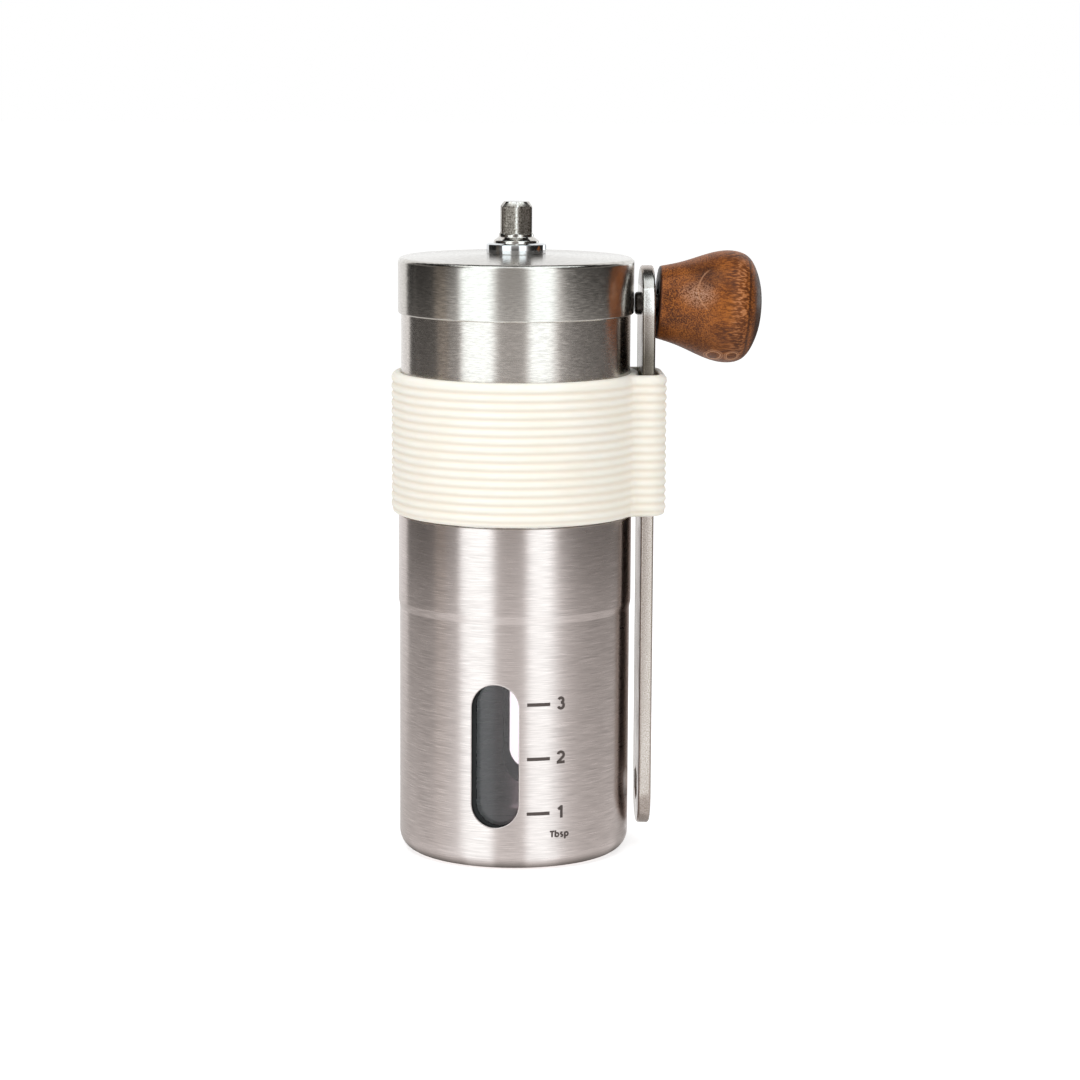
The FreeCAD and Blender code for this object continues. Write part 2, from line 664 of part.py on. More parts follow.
def inner_burr():
    """Ceramic cone burr: fine teeth at the foot, seven spiral feeding teeth above them."""
    foot = (CONE_FOOT, CONE_FOOT_R, CONE_FOOT_R - FINE_DEPTH)
    fine_top = (FINE_TOP, CONE_FINE_R, CONE_FINE_R - FINE_DEPTH)
    feed_foot = (FINE_TOP, CONE_FINE_R, CONE_FINE_R - COARSE_DEPTH_LOW)
    feed_top = (CONE_TOP, CONE_TOP_R, CONE_TOP_R - COARSE_DEPTH_TOP)
    fine = toothed(FINE_TEETH, foot, fine_top, FINE_LAND, FINE_TWIST, 1)
    feed = toothed(COARSE_TEETH, feed_foot, feed_top, COARSE_LAND, COARSE_TWIST, COARSE_STEPS)
    cone = fine.fuse(feed)
    cone = cone.cut(driver_body(CONE_FOOT - OVER, CONE_TOP + OVER))
    return cone.cut(disc(DRIVER_FLANGE_R, CONE_FOOT - OVER, CONE_FOOT + DRIVER_FLANGE_HEIGHT))


def burr_driver():
    """Moulded core of the inner burr with the hexagonal hole for the shaft."""
    body = driver_body(CONE_FOOT, CONE_TOP)
    body = body.fuse(disc(DRIVER_FLANGE_R, CONE_FOOT, CONE_FOOT + DRIVER_FLANGE_HEIGHT))
    hole = hexagon(DRIVE_FLATS + 2 * DRIVER_HEX_FIT)
    return body.cut(plate(hole, CONE_FOOT - OVER, CONE_TOP + OVER)).removeSplitter()


def click_plate():
    """Steel plate under the burr, with the holes that the adjusting nut clicks in."""
    body = disc(CLICK_PLATE_R, PLATE_FOOT, CONE_FOOT)
    bore = disc(DRIVE_CORNER_R + PLATE_BORE_PLAY, PLATE_FOOT - OVER, CONE_FOOT + OVER)
    hole = rod_at(CLICK_HOLE_R, CLICK_CIRCLE_R, 0, PLATE_FOOT - OVER, CONE_FOOT + OVER)
    return body.cut([bore] + around(hole, CLICK_HOLES))


def adjust_nut():
    """Grind setting nut with a scalloped dial, threaded on the foot of the shaft."""
    body = turned([
        (0, NUT_FOOT),
        (NUT_DIAL_R, NUT_FOOT, NUT_DIAL_EDGE_R),
        (NUT_DIAL_R, DIAL_TOP, NUT_DIAL_EDGE_R),
        (NUT_HUB_R, DIAL_TOP),
        (NUT_HUB_R, NUT_TOP),
        (0, NUT_TOP),
    ])
    scallop = rod_at(NUT_SCALLOP_R, NUT_SCALLOP_CIRCLE_R, 0, NUT_FOOT - OVER, DIAL_TOP + OVER)
    recess = disc(NUT_RECESS_R, NUT_FOOT - OVER, NUT_FOOT + NUT_RECESS_DEPTH)
    bore = disc(THREAD_R + SLIDE_FIT, NUT_FOOT - OVER, NUT_TOP + OVER)
    return body.cut(around(scallop, NUT_SCALLOPS) + [recess, bore])


def burr_retainer():
    """Steel ring screwed under the housing, it holds the outer burr up in its seat."""
    foot = RING_FOOT - RETAINER_THICKNESS
    body = disc(TUBE_BORE_R - RETAINER_PLAY, foot, RING_FOOT)
    bore = disc(RETAINER_INNER_R, foot - OVER, RING_FOOT + OVER)
    return body.cut([bore] + screw_shanks(foot - OVER))


def retainer_screws():
    """Three pan head screws of the retainer, each with a slot."""
    top = RING_FOOT - RETAINER_THICKNESS
    foot = top - SCREW_HEAD_HEIGHT
    head = rod_at(SCREW_HEAD_R, SCREW_CIRCLE_R, 0, foot, top)
    rim = [edge for edge in head.Edges if abs(edge.CenterOfMass.z - foot) < TINY]
    head = head.makeFillet(SCREW_HEAD_ROUND, rim)
    corner = FreeCAD.Vector(SCREW_CIRCLE_R - SCREW_HEAD_R - OVER, -SCREW_SLOT / 2, foot - OVER)
    slot = Part.makeBox(2 * (SCREW_HEAD_R + OVER), SCREW_SLOT, OVER + SCREW_SLOT_DEPTH, corner)
    heads = around(head.cut(slot), SCREW_COUNT, SCREW_BEARING)
    screws = [one.fuse(shank).removeSplitter() for one, shank in zip(heads, screw_shanks(top))]
    return Part.makeCompound(screws)


def flanged_bush(foot, top, flange_foot):
    """Bearing bush of the shaft with one flange."""
    body = disc(BUSH_R, foot, top)
    body = body.fuse(disc(BUSH_FLANGE_R, flange_foot, flange_foot + BUSH_FLANGE_HEIGHT))
    return body.cut(disc(SHAFT_BORE_R, foot - OVER, top + OVER)).removeSplitter()


def upper_bush():
    """Bush of the upper bridge, its flange on top."""
    return flanged_bush(UPPER_BUSH_FOOT, UPPER_BUSH_TOP, UPPER_BUSH_TOP - BUSH_FLANGE_HEIGHT)


def lower_bush():
    """Bush of the housing, its flange below."""
    return flanged_bush(LOWER_BUSH_FOOT, LOWER_BUSH_TOP, LOWER_BUSH_FOOT)


def upper_bridge():
    """Three-armed bearing bridge in the mouth of the hopper."""
    hub_top = UPPER_BUSH_TOP - BUSH_FLANGE_HEIGHT
    rim = disc(TUBE_BORE_R, BRIDGE_FOOT, BRIDGE_TOP)
    rim = rim.cut(disc(TUBE_BORE_R - BRIDGE_RIM_WALL, BRIDGE_FOOT - OVER, BRIDGE_TOP + OVER))
    arms = bridge_arms(TUBE_BORE_R - BRIDGE_RIM_WALL / 2, BRIDGE_FOOT)
    body = rim.fuse(arms + [disc(HUB_R, BRIDGE_FOOT, hub_top)])
    return body.cut(disc(BUSH_R, BRIDGE_FOOT - OVER, hub_top + OVER)).removeSplitter()


def drive_head():
    """Hexagonal drive head: six flats milled in a round stem, each run out in a curve."""
    stem = turned([
        (0, CONE_SHOULDER_TOP),
        (SHOULDER_STEM_R, CONE_SHOULDER_TOP),
        (HEAD_CORNER_R, CONE_SHOULDER_TOP + HEAD_FOOT),
        (HEAD_CORNER_R, HEAD_TOP - HEAD_CHAMFER_HEIGHT),
        (HEAD_CORNER_R - HEAD_CHAMFER, HEAD_TOP),
        (0, HEAD_TOP),
    ])
    near = HEAD_FLATS / 2
    width = 2 * HEAD_CORNER_R
    corner = FreeCAD.Vector(near, -width / 2, CONE_SHOULDER_TOP + HEAD_FOOT)
    cutter = Part.makeBox(2 * HEAD_RUNOUT_R, width, HEAD_HEIGHT + OVER, corner)
    middle = FreeCAD.Vector(near, 0, CONE_SHOULDER_TOP + HEAD_FOOT)
    run_out = [edge for edge in cutter.Edges if edge.CenterOfMass.distanceToPoint(middle) < TINY]
    cutter = cutter.makeFillet(HEAD_RUNOUT_R, run_out)
    return stem.cut(around(cutter, 6))


def drive_shaft():
    """Main shaft: thread, hexagon for the burr, journal, shoulder and drive head."""
    foot = disc(THREAD_R, THREAD_FOOT, THREAD_TOP)
    foot = foot.makeChamfer(THREAD_CHAMFER, circles_at(foot, THREAD_R, THREAD_FOOT))
    drive = plate(hexagon(DRIVE_FLATS), THREAD_TOP, SHAFT_STEP)
    journal = turned([
        (0, SHAFT_STEP),
        (SHAFT_R, SHAFT_STEP),
        (SHAFT_R, RING_SLOT_TOP - RING_THICKNESS),
        (GROOVE_R, RING_SLOT_TOP - RING_THICKNESS),
        (GROOVE_R, RING_SLOT_TOP),
        (SHAFT_R, RING_SLOT_TOP),
        (SHAFT_R, SHOULDER_FOOT),
        (SHOULDER_R, SHOULDER_FOOT, SHOULDER_EDGE_R),
        (SHOULDER_R, COLLAR_TOP),
        (SHOULDER_STEM_R, CONE_SHOULDER_TOP),
        (0, CONE_SHOULDER_TOP),
    ])
    return foot.fuse([drive, journal, drive_head()]).removeSplitter()


def washer(bore, radius, foot, top):
    """Flat washer on the Z axis."""
    return disc(radius, foot, top).cut(disc(bore, foot - OVER, top + OVER))


def retaining_ring():
    """Open ring in the groove of the shaft, under the upper bush."""
    foot = RING_SLOT_TOP - RING_THICKNESS
    body = washer(GROOVE_R, GROOVE_R + RING_WIDTH, foot, RING_SLOT_TOP)
    reach = GROOVE_R + RING_WIDTH + OVER
    half = RING_OPENING / 2
    gap = plate([(-reach, -half), (0, -half), (0, half), (-reach, half)], foot - OVER, RING_SLOT_TOP + OVER)
    return body.cut(gap)


def helix_point(angle, rise):
    """Point and direction on the spring's centre line, rise in mm for each radian."""
    point = FreeCAD.Vector(SPRING_COIL_R * math.cos(angle), SPRING_COIL_R * math.sin(angle),
                           CONE_TOP + SPRING_WIRE_R + rise * angle)
    along = FreeCAD.Vector(-SPRING_COIL_R * math.sin(angle), SPRING_COIL_R * math.cos(angle), rise)
    return point, along.normalize()


def biarc(start, start_way, end, end_way):
    """Two tangent arcs between two points with given directions."""
    chord = end - start
    ways = start_way + end_way
    a = ways.dot(ways) - 4
    b = -2 * chord.dot(ways)
    c = chord.dot(chord)
    reach = (-b - math.sqrt(b * b - 4 * a * c)) / (2 * a)
    first = start + start_way * reach
    second = end - end_way * reach
    joint = (first + second) / 2
    arcs = []
    for tail, knee, tip in ((start, first, joint), (joint, second, end)):
        share = math.sin((tail - knee).getAngle(tip - knee) / 2)
        middle = (tail + tip + knee * (2 * share)) / (2 + 2 * share)
        arcs.append(Part.Arc(tail, middle, tip).toShape())
    return arcs


def burr_spring():
    """Compression spring between the burr's core and its washer, one unbroken wire."""
    turns = SPRING_HALF_TURNS / 2
    rise = (SPRING_TOP - CONE_TOP - 2 * SPRING_WIRE_R) / (2 * math.pi * turns)
    edges = []
    for half_turn in range(SPRING_HALF_TURNS):
        start, start_way = helix_point(math.pi * half_turn, rise)
        end, end_way = helix_point(math.pi * (half_turn + 1), rise)
        edges.extend(biarc(start, start_way, end, end_way))
    path = Part.Wire(edges)
    start, way = helix_point(0, rise)
    section = Part.Wire([Part.Circle(start, way, SPRING_WIRE_R).toShape()])
    spring = path.makePipeShell([section], True, False)
    report_spring(path, spring)
    return spring


def report_spring(path, spring):
    """Print the wire's least gap to itself and its volume against section times length."""
    points = path.discretize(Number=SPRING_CHECK_COUNT * SPRING_HALF_TURNS)
    least = min((a - b).Length for i, a in enumerate(points) for b in points[i + SPRING_CHECK_COUNT:])
    tube = math.pi * SPRING_WIRE_R ** 2 * path.Length
    print("spring: least gap %.2f mm, volume %.3f of section times length"
          % (least - 2 * SPRING_WIRE_R, spring.Volume / tube))


def lid_crown(radius, drop):
    """Height of the lid's crowned top at a radius, lowered by drop."""
    share = (radius - COLLAR_R) / (LID_R - COLLAR_R)
    return LID_TOP + LID_CROWN * (1 - share) - drop


def lid_cap():
    """Drawn steel lid: straight skirt, rounded shoulder, slightly crowned top."""
    return turned([
        (COLLAR_SPIGOT_R, lid_crown(COLLAR_R, 0)),
        (COLLAR_SPIGOT_R, lid_crown(COLLAR_R, LID_WALL)),
        (COLLAR_R, lid_crown(COLLAR_R, LID_WALL)),
        (LID_BORE_R, lid_crown(LID_R, LID_WALL), LID_EDGE_R - LID_WALL),
        (LID_BORE_R, LID_FOOT),
        (LID_R - LID_HEM, LID_FOOT),
        (LID_R, LID_FOOT + LID_HEM),
        (LID_R, lid_crown(LID_R, 0), LID_EDGE_R),
        (COLLAR_R, lid_crown(COLLAR_R, 0)),
    ])


def lid_liner():
    """Moulded inner lid: a disc under the crown and a ring that plugs the tube."""
    return turned([
        (COLLAR_SPIGOT_R, LID_DISC_FOOT),
        (PLUG_R - PLUG_WALL, LID_DISC_FOOT),
        (PLUG_R - PLUG_WALL, LID_DISC_FOOT - PLUG_DEPTH),
        (PLUG_R - PLUG_LEAD, LID_DISC_FOOT - PLUG_DEPTH),
        (PLUG_R, LID_DISC_FOOT - PLUG_DEPTH + PLUG_LEAD),
        (PLUG_R, LID_DISC_FOOT),
        (LID_BORE_R, LID_DISC_FOOT),
        (LID_BORE_R, lid_crown(LID_R, LID_WALL), LID_DISC_EDGE),
        (COLLAR_R, lid_crown(COLLAR_R, LID_WALL)),
        (COLLAR_SPIGOT_R, lid_crown(COLLAR_R, LID_WALL)),
    ])


def lid_collar():
    """Chromed ring in the lid; the shoulder of the shaft turns in it."""
    return turned([
        (COLLAR_BORE_R, LID_DISC_FOOT),
        (COLLAR_SPIGOT_R, LID_DISC_FOOT),
        (COLLAR_SPIGOT_R, COLLAR_FOOT),
        (COLLAR_R, COLLAR_FOOT),
        (COLLAR_R, COLLAR_TOP - COLLAR_SHOULDER),
        (COLLAR_R - COLLAR_SHOULDER, COLLAR_TOP),
        (COLLAR_BORE_R, COLLAR_TOP),
    ])


def crank_arm():
    """Flat steel bar with round ends, a hexagonal hole and the hole of the knob's axle."""
    half = ARM_BAR_WIDTH / 2
    body = bar([
        (-half, ARM_FOOT_Z, half),
        (half, ARM_FOOT_Z, half),
        (half, ARM_TOP_Z, half),
        (-half, ARM_TOP_Z, half),
    ], ARM_X, ARM_OUT_X)
    faces = [face for face in body.Faces if abs(abs(face.normalAt(0, 0).x) - 1) < TINY]
    rims = [edge for face in faces for edge in face.Edges]
    body = body.makeFillet(ARM_EDGE_R, rims)
    socket_corners = [(y, SOCKET_Z + z) for z, y in hexagon(HEAD_FLATS + 2 * HEX_FIT)]
    socket = bar(socket_corners, ARM_X - OVER, ARM_OUT_X + OVER)
    hole = rod_along_x(AXLE_SPIGOT_R, ARM_X - OVER, ARM_OUT_X + OVER)
    return body.cut([socket, hole])


def rod_along_x(radius, near, far):
    """Round rod on the line of the knob's axle."""
    return Part.makeCylinder(radius, far - near, FreeCAD.Vector(near, 0, AXLE_Z), X_AXIS)


def knob_axle():
    """Axle of the knob: peened in the arm, its head inside the knob."""
    outline = [
        (0, ARM_X - AXLE_PEEN_HEIGHT),
        (AXLE_PEEN_R, ARM_X - AXLE_PEEN_HEIGHT, AXLE_PEEN_ROUND),
        (AXLE_PEEN_R, ARM_X),
        (AXLE_SPIGOT_R, ARM_X),
        (AXLE_SPIGOT_R, ARM_OUT_X),
        (AXLE_R, ARM_OUT_X),
        (AXLE_R, KNOB_FOOT_X + AXLE_HEAD_FOOT),
        (AXLE_HEAD_R, KNOB_FOOT_X + AXLE_HEAD_FOOT),
        (AXLE_HEAD_R, KNOB_FOOT_X + AXLE_HEAD_FOOT + AXLE_HEAD_THICKNESS, AXLE_HEAD_ROUND),
        (0, KNOB_FOOT_X + AXLE_HEAD_FOOT + AXLE_HEAD_THICKNESS),
    ]
    axle = turned(outline)
    axle.rotate(ORIGIN, Y_AXIS, 90)
    axle.translate(Z_AXIS * AXLE_Z)
    return axle


def knob_washer():
    """Washer on the axle between the arm and the knob."""
    far = ARM_OUT_X + KNOB_WASHER_THICKNESS
    return rod_along_x(KNOB_WASHER_R, ARM_OUT_X, far).cut(rod_along_x(AXLE_R, ARM_OUT_X - OVER, far + OVER))


def hung(shape):
    """Place a piece turned round Z on the knob's own line, which slopes down from the arm."""
    shape.rotate(ORIGIN, Y_AXIS, 90)
    shape.translate(X_AXIS * -KNOB_PIVOT)
    shape.rotate(ORIGIN, Y_AXIS, KNOB_DROOP)
    shape.translate(FreeCAD.Vector(KNOB_FOOT_X + KNOB_PIVOT, 0, AXLE_Z))
    return shape


def knob():
    """Turned wooden knob: slim foot, full bulb and a nearly flat end; bored for its sleeve."""
    points = [
        (KNOB_FOOT_R, 0),
        (KNOB_WAIST_R, KNOB_WAIST_AT),
        (KNOB_NECK_R, KNOB_NECK_AT),
        (KNOB_BULB_R, KNOB_BULB_AT),
        (KNOB_SHOULDER_R, KNOB_SHOULDER_AT),
        (KNOB_FACE_R, KNOB_FACE_AT),
        (KNOB_CROWN_R, KNOB_CROWN_AT),
        (0, KNOB_LENGTH),
    ]
    side = Part.BSplineCurve()
    side.interpolate(Points=[side_on(*point) for point in points],
                     InitialTangent=FreeCAD.Vector(KNOB_FLARE, 0, 1), FinalTangent=FreeCAD.Vector(-1, 0, 0))
    axis = Part.LineSegment(side_on(0, KNOB_LENGTH), side_on(0, 0))
    foot = Part.LineSegment(side_on(0, 0), side_on(KNOB_FOOT_R, 0))
    outline = Part.Wire([side.toShape(), axis.toShape(), foot.toShape()])
    body = Part.Face(outline).revolve(ORIGIN, Z_AXIS, 360)
    return hung(body.cut(disc(KNOB_BORE_R, -OVER, KNOB_BORE_DEPTH)))


def knob_sleeve():
    """Tube pressed in the knob; it traps the head of the axle."""
    return hung(washer(KNOB_SLEEVE_BORE_R, KNOB_BORE_R, 0, KNOB_SLEEVE_LENGTH))


def thrust_washer():
    """Washer under the shoulder of the shaft."""
    return washer(SHAFT_R, THRUST_WASHER_R, SHOULDER_FOOT - WASHER_THICKNESS, SHOULDER_FOOT)


def spring_washer():
    """Washer under the step of the shaft, the spring's upper seat."""
    bore = DRIVE_CORNER_R + SPRING_WASHER_BORE_PLAY
    return washer(bore, SPRING_WASHER_R, SPRING_TOP, SHAFT_STEP)


PIECES = [
    grounds_cup, cup_liner,
    hopper_tube, grip_sleeve, upper_bridge, upper_bush, burr_housing, lower_bush,
    outer_burr, burr_retainer, retainer_screws,
    lid_cap, lid_liner, lid_collar,
    drive_shaft, thrust_washer, retaining_ring, spring_washer, burr_spring,
    inner_burr, burr_driver, click_plate, adjust_nut,
    crank_arm, knob_axle, knob_washer, knob, knob_sleeve,
]


def main():
    """Build every piece and write it to its own file."""
    os.makedirs("parts", exist_ok=True)
    for make in PIECES:
        shape = make()
        shape.exportStep("parts/" + make.__name__ + ".step")
        print("%-16s %3d faces %10.1f mm3 valid %s"
              % (make.__name__, len(shape.Faces), shape.Volume, shape.isValid()))
    print("nut: %.0f to %.0f degrees moves the burr %.2f to %.2f mm"
          % (-360 * COARSE_TURNS, 360 * FINE_TURNS, -COARSE_TRAVEL, FINE_TRAVEL))


main()
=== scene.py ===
"""Hand coffee grinder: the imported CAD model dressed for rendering.

Sizes in the classes are millimetres and meshes are metres, in the frame of the CAD model: the origin is
the centre of the cup's base, +Z is up, and the stowed crank stands along +X.
"""
import logging
import math
from dataclasses import dataclass
from enum import Enum
from typing import Any, Sequence

import bmesh
import bpy
import numpy as np
from mathutils import Matrix, Vector
from mathutils.geometry import tessellate_polygon


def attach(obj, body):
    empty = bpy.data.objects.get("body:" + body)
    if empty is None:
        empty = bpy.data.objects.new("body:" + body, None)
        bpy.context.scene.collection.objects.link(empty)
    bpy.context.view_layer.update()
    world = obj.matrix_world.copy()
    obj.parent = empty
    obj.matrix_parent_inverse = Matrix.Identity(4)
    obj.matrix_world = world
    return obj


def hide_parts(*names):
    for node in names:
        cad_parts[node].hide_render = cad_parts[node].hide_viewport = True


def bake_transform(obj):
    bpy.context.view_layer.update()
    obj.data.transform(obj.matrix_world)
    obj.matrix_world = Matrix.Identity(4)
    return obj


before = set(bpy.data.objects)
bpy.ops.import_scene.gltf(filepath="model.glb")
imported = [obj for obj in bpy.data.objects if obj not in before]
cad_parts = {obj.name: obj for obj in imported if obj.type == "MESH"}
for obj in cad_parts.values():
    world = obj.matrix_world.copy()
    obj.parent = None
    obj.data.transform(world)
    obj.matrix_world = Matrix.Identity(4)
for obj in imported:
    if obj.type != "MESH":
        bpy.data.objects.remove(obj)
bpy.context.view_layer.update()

LOG = logging.getLogger("grinder")
MM = 0.001
BRUSH_MAP = "brush"
MILLED = "milled"
GROOVE = "groove"
LIGHT = "light"
# Nearly all values of a noise lie between these two.
NOISE_SPAN = (0.3, 0.7)
Array = np.ndarray
Corner = tuple[float, ...]
Tree = bpy.types.NodeTree
Node = bpy.types.Node
Mesh = bpy.types.Mesh
Object = bpy.types.Object


class Body(str, Enum):
    """The CAD bodies that pieces move with."""

    CUP = "cup"
    MILL = "mill"
    LID = "lid"
    SHAFT = "shaft"
    BURR = "burr"
    CRANK = "crank"
    KNOB = "knob"


def srgb(code: str) -> tuple[float, ...]:
    """Turn an sRGB hex colour into linear values.

    Args:
        code: the colour, such as "#f0ead8".

    Returns:
        Red, green, blue and alpha.
    """
    shown = np.array([int(code[at:at + 2], 16) for at in (1, 3, 5)]) / 255
    linear = np.where(shown <= 0.04045, shown / 12.92, ((shown + 0.055) / 1.055) ** 2.4)
    return (*linear.tolist(), 1.0)


def fill(node: Node, inputs: dict[Any, Any] | Sequence[Any]) -> None:
    """Fill a node's inputs with values and links.

    Args:
        node: the node.
        inputs: a value, a socket, or a node for its first socket, for each input by name, number or order.
    """
    for name, value in inputs.items() if isinstance(inputs, dict) else enumerate(inputs):
        if isinstance(value, Node):
            value = value.outputs[0]
        if isinstance(value, bpy.types.NodeSocket):
            node.id_data.links.new(value, node.inputs[name])
        else:
            node.inputs[name].default_value = value


def add_node(tree: Tree, kind: str, inputs: dict[Any, Any] | Sequence[Any] = (), **settings: Any) -> Node:
    """Add a node, set its properties and fill its inputs.

    Args:
        tree: the tree that gets the node.
        kind: the node's type.
        inputs: what fill takes.
        settings: the node's own properties.

    Returns:
        The node.
    """
    node = tree.nodes.new(kind)
    for name, value in settings.items():
        setattr(node, name, value)
    fill(node, inputs)
    return node


def empty_tree(owner: bpy.types.Material | bpy.types.World) -> Tree:
    """Switch on the nodes of a material or a world, and clear them.

    Args:
        owner: the material or the world.

    Returns:
        Its empty tree.
    """
    owner.use_nodes = True
    owner.node_tree.nodes.clear()
    return owner.node_tree


def laid_over(tree: Tree, base: Any, ink: Any, pattern: Any, span: Corner = (0.0, 1.0),
              shares: Sequence[Any] = (0.0, 1.0)) -> bpy.types.NodeSocket:
    """Lay a colour over another one where a pattern says so.

    Args:
        tree: the material's tree.
        base: hex or socket of the colour below.
        ink: hex or socket of the colour above.
        pattern: socket or node whose value decides.
        span: the pattern's values between which the upper colour's share changes.
        shares: that share, a number or a socket, up to the span's first value and from its last one.

    Returns:
        Socket of the colour.
    """
    share = add_node(tree, "ShaderNodeMapRange", (pattern, *span, *shares))
    below, above = (srgb(colour) if isinstance(colour, str) else colour for colour in (base, ink))
    return add_node(tree, "ShaderNodeMix", {0: share, 6: below, 7: above}, data_type="RGBA").outputs[2]


def stretch(tree: Tree, along: Any, levels: Corner, most: Any = 1.0) -> Node:
    """Share that rises from 0 to its most and falls back to 0 along a line.

    Args:
        tree: the material's tree.
        along: socket of the place on the line, metres.
        levels: where the share starts, has its most, has it still and ends, mm.
        most: number or socket.

    Returns:
        Node of the share.
    """
    first, full, still, last = (level * MM for level in levels)
    rise = add_node(tree, "ShaderNodeMapRange", (along, first, full, 0.0, most))
    return add_node(tree, "ShaderNodeMapRange", (along, still, last, rise, 0.0))


def put_in_scene(name: str, data: Any) -> Object:
    """Make an object and link it to the scene.

    Args:
        name: the object's name.
        data: its mesh, lamp or camera.

    Returns:
        The object.
    """
    obj = bpy.data.objects.new(name, data)
    bpy.context.scene.collection.objects.link(obj)
    return obj


def mesh_points(mesh: Mesh) -> Array:
    """Read the points of a mesh.

    Args:
        mesh: the mesh, in metres.

    Returns:
        Rows of x, y, z in millimetres.
    """
    flat = np.zeros(3 * len(mesh.vertices))
    mesh.vertices.foreach_get("co", flat)
    return flat.reshape(-1, 3) / MM


def mark_points(mesh: Mesh, name: str, values: Array) -> None:
    """Store a number or a colour at each point, for a material to read.

    Args:
        mesh: the mesh.
        name: the attribute's name.
        values: one number, or one row of red, green, blue and alpha, for each point.
    """
    kind, part = ("FLOAT", "value") if values.ndim == 1 else ("FLOAT_COLOR", "color")
    mark = mesh.attributes.new(name, kind, "POINT")
    mark.data.foreach_set(part, values.astype(np.float32).ravel())


@dataclass
class Surface:
    """A mesh in the making, in millimetres.

    Attributes:
        points: one row of x, y, z for each point.
        quads: four point numbers for each face.
        uvs: u and v in metres at each corner of each quad.
        triangles: three point numbers for each face of flat or lettered parts.
    """

    points: Array
    quads: Array
    uvs: Array
    triangles: Array

    def __add__(self, other: "Surface") -> "Surface":
        """Join two surfaces into one.

        Args:
            other: the second surface.

        Returns:
            Both.
        """
        shift = len(self.points)
        return Surface(np.vstack([self.points, other.points]), np.vstack([self.quads, other.quads + shift]),
                       np.vstack([self.uvs, other.uvs]), np.vstack([self.triangles, other.triangles + shift]))

    def mesh(self, name: str) -> Mesh:
        """Write the surface to a mesh, weld its seams and poles and turn its faces outwards.

        Args:
            name: the mesh's name.

        Returns:
            The mesh, in metres, with its map of lengths along and across the brushing.
        """
        made = bpy.data.meshes.new(name)
        corners = 4 * len(self.quads)
        made.vertices.add(len(self.points))
        made.vertices.foreach_set("co", (self.points * MM).ravel())
        made.loops.add(corners + 3 * len(self.triangles))
        made.loops.foreach_set("vertex_index", np.concatenate([self.quads.ravel(), self.triangles.ravel()]))
        made.polygons.add(len(self.quads) + len(self.triangles))
        starts = [np.arange(len(self.quads)) * 4, corners + np.arange(len(self.triangles)) * 3]
        made.polygons.foreach_set("loop_start", np.concatenate(starts))
        made.update(calc_edges=True)
        flat = np.concatenate([self.uvs.ravel(), np.zeros(6 * len(self.triangles))])
        made.uv_layers.new(name=BRUSH_MAP).data.foreach_set("uv", flat)
        shell = bmesh.new()
        shell.from_mesh(made)
        bmesh.ops.remove_doubles(shell, verts=shell.verts, dist=0.002 * MM)
        bmesh.ops.recalc_face_normals(shell, faces=shell.faces)
        shell.to_mesh(made)
        shell.free()
        return made


def travelled(points: Array) -> Array:
    """Distance from the first row of a grid to each row, along its longest column, and round to the first.

    Args:
        points: rows by columns by x, y, z.

    Returns:
        One distance for each row, and one for the way round.
    """
    steps = np.linalg.norm(np.roll(points, -1, axis=0) - points, axis=-1)
    longest = steps[:-1].sum(axis=0).argmax()
    return np.concatenate([[0.0], np.cumsum(steps[:, longest])])


def grid(points: Array, wrap: tuple[bool, bool] = (False, False), lengths: Array | None = None) -> Surface:
    """Quads between neighbouring points of a grid.

    Args:
        points: rows by columns by x, y, z.
        wrap: whether the last row joins the first one, and the last column the first one.
        lengths: u and v of each point in mm, where they aren't the lengths along the rows and the columns.

    Returns:
        The surface, whose u runs along the rows' numbers and v along the columns'.
    """
    rows, columns = points.shape[:2]
    number = np.arange(rows * columns).reshape(rows, columns)
    row, column = np.meshgrid(np.arange(rows - (not wrap[0])), np.arange(columns - (not wrap[1])), indexing="ij")
    corners = [(row, column), (row + 1, column), (row + 1, column + 1), (row, column + 1)]
    quads = np.stack([number[i % rows, j % columns] for i, j in corners], axis=-1).reshape(-1, 4)
    if lengths is None:
        u, v = travelled(points), travelled(points.swapaxes(0, 1))
        spots = [np.stack([u[i], v[j]], axis=-1) for i, j in corners]
    else:
        spots = [lengths[i % rows, j % columns] for i, j in corners]
    uvs = np.stack(spots, axis=2).reshape(-1, 4, 2) * MM
    return Surface(points.reshape(-1, 3), quads, uvs, np.zeros((0, 3), int))


def flat_fill(loops: Sequence[Array]) -> Surface:
    """Flat face in triangles, inside the first loop of points and outside the others."""
    faces = tessellate_polygon([[Vector(point) for point in loop.tolist()] for loop in loops])
    return Surface(np.vstack(loops), np.zeros((0, 4), int), np.zeros((0, 4, 2)), np.array(faces, int))


def unit(vector: Array) -> Array:
    """The vector at length one."""
    return vector / np.linalg.norm(vector)


def circle(angles: Array | float, radius: float = 1.0) -> Array:
    """Points of a circle round the origin: the radius times the cosine and the sine of each angle."""
    return radius * np.stack([np.cos(angles), np.sin(angles)], axis=-1)


def softened(low: float, high: float, edge: float, steps: int) -> list[Corner]:
    """Side of a plate whose two edges are quarter rounds.

    Args:
        low: where its first face lies.
        high: where its second face lies.
        edge: radius of the rounds.
        steps: rows on each round.

    Returns:
        Rows of the place between the faces and how far the outline is drawn in there.
    """
    turn = np.linspace(0, math.pi / 2, steps)
    lift, inset = edge * (1 - np.cos(turn)), edge * (1 - np.sin(turn))
    return [*zip(low + lift, inset), *zip((high - lift)[::-1], inset[::-1])]


def joined(surfaces: Sequence[Surface]) -> Surface:
    """All the surfaces in one."""
    return sum(surfaces[1:], surfaces[0])


